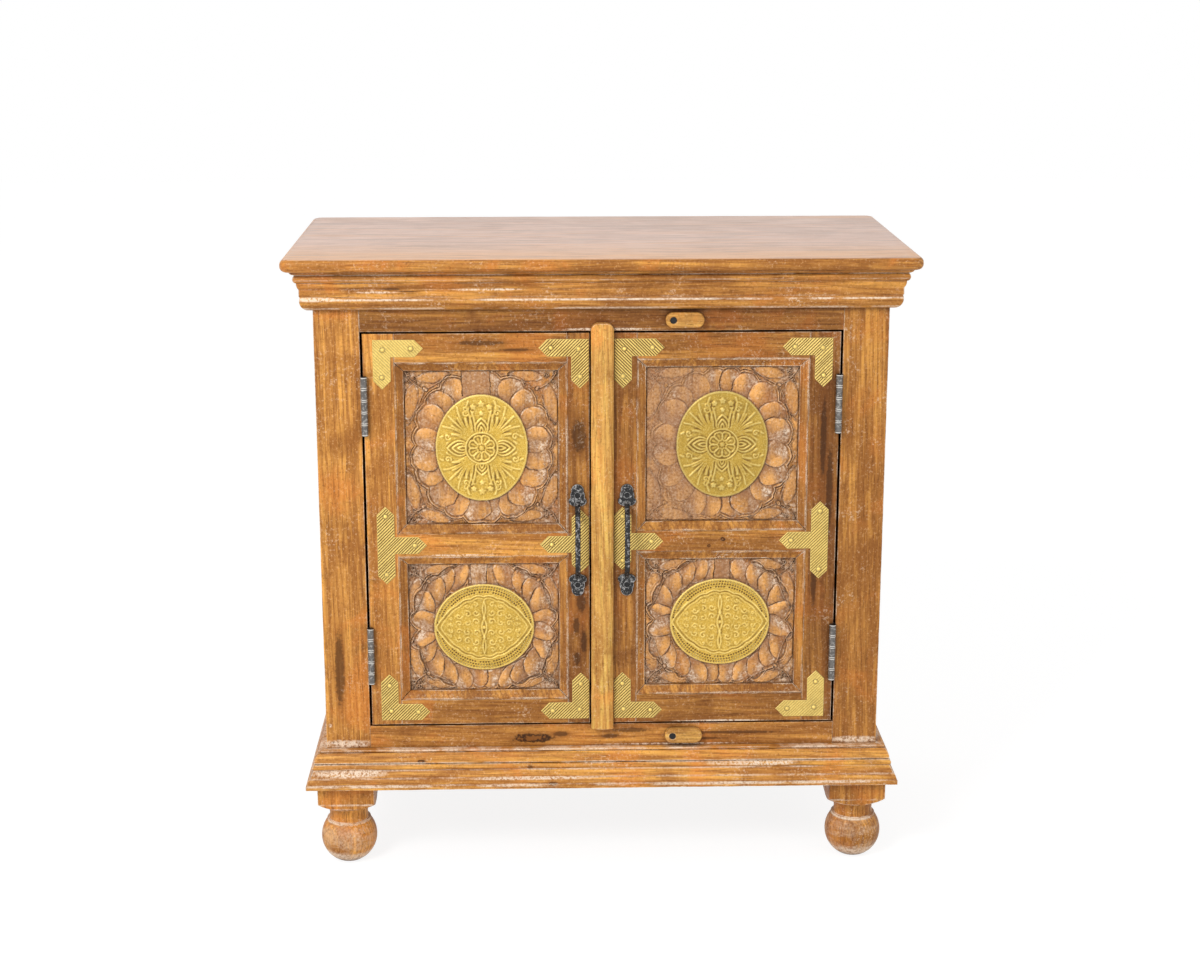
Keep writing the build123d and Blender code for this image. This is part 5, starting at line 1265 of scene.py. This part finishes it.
CHIPS = {  # pale ovals: x, z, half width, half height
    "cornice_front": (
        (-0.31, 0.852, 0.03, 0.0015), (-0.395, 0.842, 0.03, 0.003), (-0.16, 0.8555, 0.045, 0.0016),
    ),
    "front_top_rail": ((0.005, 0.7965, 0.068, 0.0016), (-0.372, 0.812, 0.03, 0.004)),
    "front_left_post": ((-0.375, 0.188, 0.034, 0.006), (-0.394, 0.2165, 0.0028, 0.0028)),
    "front_right_post": ((0.37, 0.187, 0.034, 0.005),),
    "front_bottom_rail": ((0.1, 0.1835, 0.1, 0.0012),),
    "right_door_bottom_rail": ((0.17, 0.2185, 0.06, 0.0013), (0.02, 0.2185, 0.01, 0.0013)),
    "plinth_front": ((-0.37, 0.15, 0.05, 0.006), (0.22, 0.16, 0.06, 0.004), (-0.1, 0.142, 0.09, 0.002)),
    "left_door_mid_rail": ((-0.2, 0.472, 0.05, 0.001),),
}
# pale worn lines: height, half their width, amount
CORNICE_LINES = ((0.8412, 0.002, 0.95), (0.8285, 0.0022, 0.8), (0.877, 0.0014, 0.6), (0.8695, 0.0012, 0.35))
PLINTH_LINES = (
    (0.181, 0.002, 0.9), (0.1635, 0.0026, 0.95), (0.1535, 0.0018, 0.6),
    (0.1325, 0.0028, 0.85), (0.143, 0.0014, 0.5),
)
FOOT_LINES = (
    (0.0875, 0.003, 0.95), (0.0635, 0.0028, 1.0), (0.012, 0.012, 0.75),
    (0.098, 0.002, 0.7), (0.04, 0.03, 0.25),
)
MOULDINGS = (
    # node, grain, tone, pale lines
    ("cornice_front", "X", 0.66, CORNICE_LINES),
    ("cornice_sides", "Y", 0.62, CORNICE_LINES),
    ("plinth_front", "X", 0.88, PLINTH_LINES),
    ("plinth_sides", "Y", 0.78, PLINTH_LINES),
)
BOARDS = (
    ("left_side_panel", "Z"), ("right_side_panel", "Z"), ("back_panel", "Z"), ("rear_rails", "X"),
    ("floor_board", "X"), ("shelf", "X"), ("shelf_cleats", "Y"),
)
DOOR_WOOD = (
    # piece, grain, tone on the left door, tone on the right door
    ("hinge_stile", "Z", 0.8, 0.27),
    ("meeting_stile", "Z", 0.33, 0.38),
    ("door_top_rail", "X", 0.6, 0.42),
    ("door_mid_rail", "X", 0.84, 0.51),
    ("door_bottom_rail", "X", 0.53, 0.46),
)
PALE_WOOD = (
    # node, grain, tone, rounding of its edges in millimetres
    ("astragal", "Z", 1.0, 1.6),
    ("top_turn_button", "X", 0.85, 1.0),
    ("bottom_turn_button", "X", 0.8, 1.0),
)
PANELS = (
    # panel, block (from, to, whitewash) at the middle of its upper edge, browner side, chips (x, z, radius)
    ("left_upper", (-27.0, 12.0, 0.15), 0, ()),
    ("left_lower", (-18.0, 4.0, 0.55), 0, ((2.0, -67.2, 2.2), (8.0, -66.8, 1.6))),
    ("right_upper", None, -1, ()),
    ("right_lower", (-8.0, 14.0, 0.0), 0, ()),
)
MEDALLIONS = (
    # medallion, what is drawn on it, how bright it is
    ("left_upper", rosette_medallion, 1.0),
    ("left_lower", scroll_medallion, 1.0),
    ("right_upper", rosette_medallion, 0.76),
    ("right_lower", scroll_medallion, 1.0),
)
RUBBED_PLATES = ((-0.3, 0.76, 0.35), (0.3, 0.25, 0.4), (0.3, 0.5, 0.75))  # x, z, share of the hatching left


# ---------------------------------------------------------------- operators
class CABINET_OT_carcass(bpy.types.Operator):
    """Make the worn posts and rails of the carcass"""

    bl_idname = "cabinet.carcass"
    bl_label = "Posts and rails"

    def execute(self, context):
        """Makes one piece for each post and for each set of rails."""
        for n, (node, grain, tone, wear, edge) in enumerate(CARCASS):
            wooden_piece(node, grain, tone, n + 1, edge, wear=wear)
        return {"FINISHED"}


class CABINET_OT_mouldings(bpy.types.Operator):
    """Make the cornice and the plinth, with whitewash left on their edges"""

    bl_idname = "cabinet.mouldings"
    bl_label = "Cornice and plinth"

    def execute(self, context):
        """Makes the front length and the two side lengths of each."""
        for n, (node, grain, tone, lines) in enumerate(MOULDINGS):
            wooden_piece(node, grain, tone, 20 + n, 0.7, 0.008, 35.0, lines=lines)
        return {"FINISHED"}


class CABINET_OT_top(bpy.types.Operator):
    """Make the waxed top board"""

    bl_idname = "cabinet.top"
    bl_label = "Top board"

    def execute(self, context):
        """Makes the board, paler on its upper side than on its nose, partly as a painted reflection."""
        material = wood_material("top", "X", 0.72, 31, wear=0.5, gloss=0.36, top=tuple(wood().top))
        worn_piece("top_board", material, 31, edge=0.0, dent=0.6 * MM, step=0.01)
        return {"FINISHED"}


class CABINET_OT_feet(bpy.types.Operator):
    """Make the turned feet"""

    bl_idname = "cabinet.feet"
    bl_label = "Turned feet"

    def execute(self, context):
        """Makes the four feet, with pale rings worn at their necks."""
        for n, place in enumerate(("front_left", "front_right", "rear_left", "rear_right")):
            tone = 0.76 - 0.12 * (n % 2)
            wooden_piece(f"{place}_foot", "Z", tone, 41 + n, 0.9, 0.006, 35.0, lines=FOOT_LINES)
        return {"FINISHED"}


class CABINET_OT_inside(bpy.types.Operator):
    """Finish the boards of the walls and of the inside"""

    bl_idname = "cabinet.inside"
    bl_label = "Walls and inside"

    def execute(self, context):
        """Makes the wall panels in the outside's wood and the rest in plain wood."""
        for n, (node, grain) in enumerate(BOARDS):
            average = None if node.endswith("side_panel") else tuple(wood().plain)
            wooden_piece(node, grain, 0.45, 51 + n, 0.5, 0.03, average=average, wear=0.4, gloss=0.5)
        return {"FINISHED"}


class CABINET_OT_doors(bpy.types.Operator):
    """Make the door frames and their mouldings"""

    bl_idname = "cabinet.doors"
    bl_label = "Door frames"

    def execute(self, context):
        """Makes five members and a set of mouldings for each door."""
        for k, side in enumerate(SIDES):
            for n, (part, grain, *tones) in enumerate(DOOR_WOOD):
                wooden_piece(f"{side}_{part}", grain, tones[k], 61 + 10 * k + n, 0.6, wear=0.6)
            node = f"{side}_door_mouldings"
            material = wood_material(node, "Z", 0.56, 67 + 10 * k, wear=1.2)
            worn_piece(node, material, 68 + 10 * k, 0.35 * MM, None, 0.008, 30.0, crossed=True)
        return {"FINISHED"}


class CABINET_OT_panels(bpy.types.Operator):
    """Carve the four door panels"""

    bl_idname = "cabinet.panels"
    bl_label = "Carved panels"

    def execute(self, context):
        """Carves the raised field of each panel and keeps the board round it."""
        settings = context.scene.cabinet_carving
        for n, (name, block, brown_side, chips) in enumerate(PANELS):
            node = f"{name}_panel"
            board = frame["nodes"][node].data.copy()
            face = min(v.co.y for v in board.vertices)
            field = [v for v in board.vertices if v.co.y < face + LEVEL]
            low, high = (Vector(corner) for corner in zip(*spans(field)))
            floor = face + settings.depth + 1.0 * MM
            for v in field:
                v.co.y = floor
            disc_low, disc_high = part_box(f"{name}_medallion")
            oval = [(disc_high[i] - disc_low[i]) / 2 / MM for i in (0, 2)]
            half = (high - low) / 2 / MM
            narrow = 1.0 if "lower" in name else 0.0
            carving = carve_panel(half.x, half.z, oval, settings, 81 + n, block, brown_side, chips, narrow)
            fields = ("wash", "glow", "shade", "dirt")
            mesh = relief_mesh(
                f"{node}_carved", carving, (low + high) / 2, face, floor - 0.2 * MM, fields, board
            )
            new_piece(node, mesh, wood_material(node, "Z", 0.5, 81 + n, wear=0.25, gloss=0.46, carved=True))
        return {"FINISHED"}


class CABINET_OT_medallions(bpy.types.Operator):
    """Emboss the four brass medallions"""

    bl_idname = "cabinet.medallions"
    bl_label = "Medallions"

    def execute(self, context):
        """Makes two medallions with a rosette and two with scrolls."""
        for n, (name, draw, glow) in enumerate(MEDALLIONS):
            node = f"{name}_medallion"
            low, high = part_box(node)
            half = (high - low) / 2 / MM
            relief = draw(half.x, half.z, metal(), 91 + n)
            fields = ("dirt", "shine")
            mesh = relief_mesh(f"{node}_embossed", relief, (low + high) / 2, high.y, high.y, fields)
            new_piece(node, mesh, brass_material(f"brass_{node}", 5 + n, glow))
        return {"FINISHED"}


class CABINET_OT_plates(bpy.types.Operator):
    """Cut the hatching of the brass plates and finish their nails"""

    bl_idname = "cabinet.plates"
    bl_label = "Brass plates"

    def execute(self, context):
        """Makes the plates of each door, and its nails in the same brass."""
        brass = tuple(metal().plate)
        for k, side in enumerate(SIDES):
            plate_brass = brass_material(f"brass_{side}_plates", 11 + k, brass=brass)
            hatched_plates(f"{side}_brass_plates", plate_brass)
            collared_nails(f"{side}_plate_nails", brass_material(f"brass_{side}_nails", 13 + k, 1.1, brass))
        return {"FINISHED"}


class CABINET_OT_ironwork(bpy.types.Operator):
    """Finish the pulls, hinges and screws"""

    bl_idname = "cabinet.ironwork"
    bl_label = "Ironwork"

    def execute(self, context):
        """Gives forged iron to the pulls, dark steel to the hinges and black iron to the screws."""
        dark, grey = tuple(metal().iron), tuple(metal().steel)
        # The pale greys stand for rubbed metal and painted highlights.
        iron = iron_material("forged_iron", dark, (0.58, 0.57, 0.56), 0.3, 0.6, lump=2.5, rubbed=0.6)
        black = iron_material("black_screws", scaled(dark, 0.4), (0.03, 0.03, 0.03), 0.6, 0.3, rubbed=0.2)
        low, high = (corner.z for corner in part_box("hinge_pins"))
        gaps = [n * KNUCKLE for n in range(KNUCKLES + 1)]
        joints = [low + gap for gap in gaps] + [high - gap for gap in gaps]
        steel = iron_material("dark_steel", grey, (0.6, 0.58, 0.54), 0.38, 0.5, joints=joints)
        for side in SIDES:
            keep_node(f"{side}_pull", iron)
            keep_node(f"{side}_hinge_leaves", steel)
            keep_node(f"{side}_door_screws", black)
        keep_node("hinge_frame_leaves", steel)
        keep_node("hinge_pins", steel)
        keep_node("frame_screws", black)
        return {"FINISHED"}


class CABINET_OT_pale_wood(bpy.types.Operator):
    """Make the astragal and the turn buttons"""

    bl_idname = "cabinet.pale_wood"
    bl_label = "Astragal and buttons"

    def execute(self, context):
        """Makes them in the palest wood."""
        for n, (node, grain, tone, edge) in enumerate(PALE_WOOD):
            average = blend_colours(tuple(wood().dark), tuple(wood().pale), tone)
            wooden_piece(node, grain, tone, 101 + n, edge, 0.008, average=average, wear=0.6)
        return {"FINISHED"}


class CABINET_OT_stage(bpy.types.Operator):
    """Make the floor, the light and the camera"""

    bl_idname = "cabinet.stage"
    bl_label = "Stage"

    def execute(self, context):
        """Makes a white floor and surroundings, two soft lamps and the camera."""
        settings = context.scene.cabinet_stage
        scene = context.scene
        scene.view_settings.view_transform = "Standard"

        mesh = bpy.data.meshes.new("floor")
        corners = [(x * FLOOR_HALF, z * FLOOR_HALF, 0) for x, z in ((-1, -1), (1, -1), (1, 1), (-1, 1))]
        mesh.from_pydata(corners, [], [(0, 1, 2, 3)])
        floor = linked_object("floor", mesh)
        tree = Tree(bpy.data.materials.new("floor_paint"))
        shade = tree.add("ShaderNodeBsdfDiffuse", {"Color": (0.84, 0.84, 0.84, 1)})
        faint = tree.add("ShaderNodeBsdfDiffuse", {"Color": (0.22, 0.22, 0.22, 1)})
        glow = tree.add("ShaderNodeEmission", {"Color": (1, 1, 1, 1), "Strength": 0.86})
        both = tree.add("ShaderNodeAddShader", {0: faint.outputs[0], 1: glow.outputs[0]})
        choice = tree.add("ShaderNodeMixShader", {0: tree.seen(), 1: shade.outputs[0], 2: both.outputs[0]})
        tree.links.new(choice.outputs[0], tree.nodes["Material Output"].inputs["Surface"])
        mesh.materials.append(tree.owner)

        scene.world = bpy.data.worlds.new("surroundings")
        tree = Tree(scene.world)
        back = tree.nodes["Background"].inputs
        back["Color"].default_value = (1, 1, 1, 1)
        inputs = {"Value": tree.seen(), "To Min": settings.sky, "To Max": 1.0}
        level = tree.add("ShaderNodeMapRange", inputs)
        tree.links.new(level.outputs[0], back["Strength"])

        for name, place, size, power in (
            ("key_light", (-1.7, -2.6, 2.5), 1.1, settings.key),
            ("fill_light", (1.9, -2.4, 1.4), 1.6, settings.key * 0.12),
        ):
            lamp = bpy.data.lights.new(name, "AREA")
            lamp.energy = power
            lamp.size = size
            holder = linked_object(name, lamp)
            holder.location = place
            aim = Vector((0, 0, 0.5)) - Vector(place)
            holder.rotation_euler = aim.to_track_quat("-Z", "Y").to_euler()

        lens = bpy.data.cameras.new("camera")
        lens.sensor_width = 36.0
        lens.lens = settings.lens
        lens.clip_end = 50.0
        camera = linked_object("camera", lens)
        camera.location = CAMERA_PLACE
        camera.rotation_euler = [math.radians(turn) for turn in CAMERA_TURNS]
        scene.camera = camera
        return {"FINISHED"}


# ---------------------------------------------------------------- panel and registration
OPERATORS = (
    CABINET_OT_stage,
    CABINET_OT_carcass,
    CABINET_OT_mouldings,
    CABINET_OT_top,
    CABINET_OT_feet,
    CABINET_OT_inside,
    CABINET_OT_doors,
    CABINET_OT_panels,
    CABINET_OT_medallions,
    CABINET_OT_plates,
    CABINET_OT_ironwork,
    CABINET_OT_pale_wood,
)
SETTINGS = {
    "cabinet_wood": WoodSettings,
    "cabinet_carving": CarvingSettings,
    "cabinet_metal": MetalSettings,
    "cabinet_stage": StageSettings,
}


class CABINET_PT_panel(bpy.types.Panel):
    """Lists the settings and the pieces"""

    bl_idname = "CABINET_PT_panel"
    bl_label = "Carved cabinet"
    bl_space_type = "VIEW_3D"
    bl_region_type = "UI"
    bl_category = "Cabinet"

    def draw(self, context):
        """Draws each setting, then a button for each piece."""
        for key, group in SETTINGS.items():
            box = self.layout.box()
            box.label(text=group.__doc__)
            for name in group.__annotations__:
                box.prop(getattr(context.scene, key), name)
        for operator in OPERATORS:
            self.layout.operator(operator.bl_idname)


def register():
    """Registers the settings, the operators and the panel."""
    for key, group in SETTINGS.items():
        bpy.utils.register_class(group)
        setattr(bpy.types.Scene, key, bpy.props.PointerProperty(type=group))
    for operator in OPERATORS:
        bpy.utils.register_class(operator)
    bpy.utils.register_class(CABINET_PT_panel)


def unregister():
    """Takes them out again."""
    bpy.utils.unregister_class(CABINET_PT_panel)
    for operator in reversed(OPERATORS):
        bpy.utils.unregister_class(operator)
    for key, group in SETTINGS.items():
        delattr(bpy.types.Scene, key)
        bpy.utils.unregister_class(group)


def main():
    """Makes every piece in order."""
    register()
    for operator in OPERATORS:
        group, name = operator.bl_idname.split(".")
        getattr(getattr(bpy.ops, group), name)()
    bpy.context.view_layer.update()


if __name__ == "__main__":
    main()
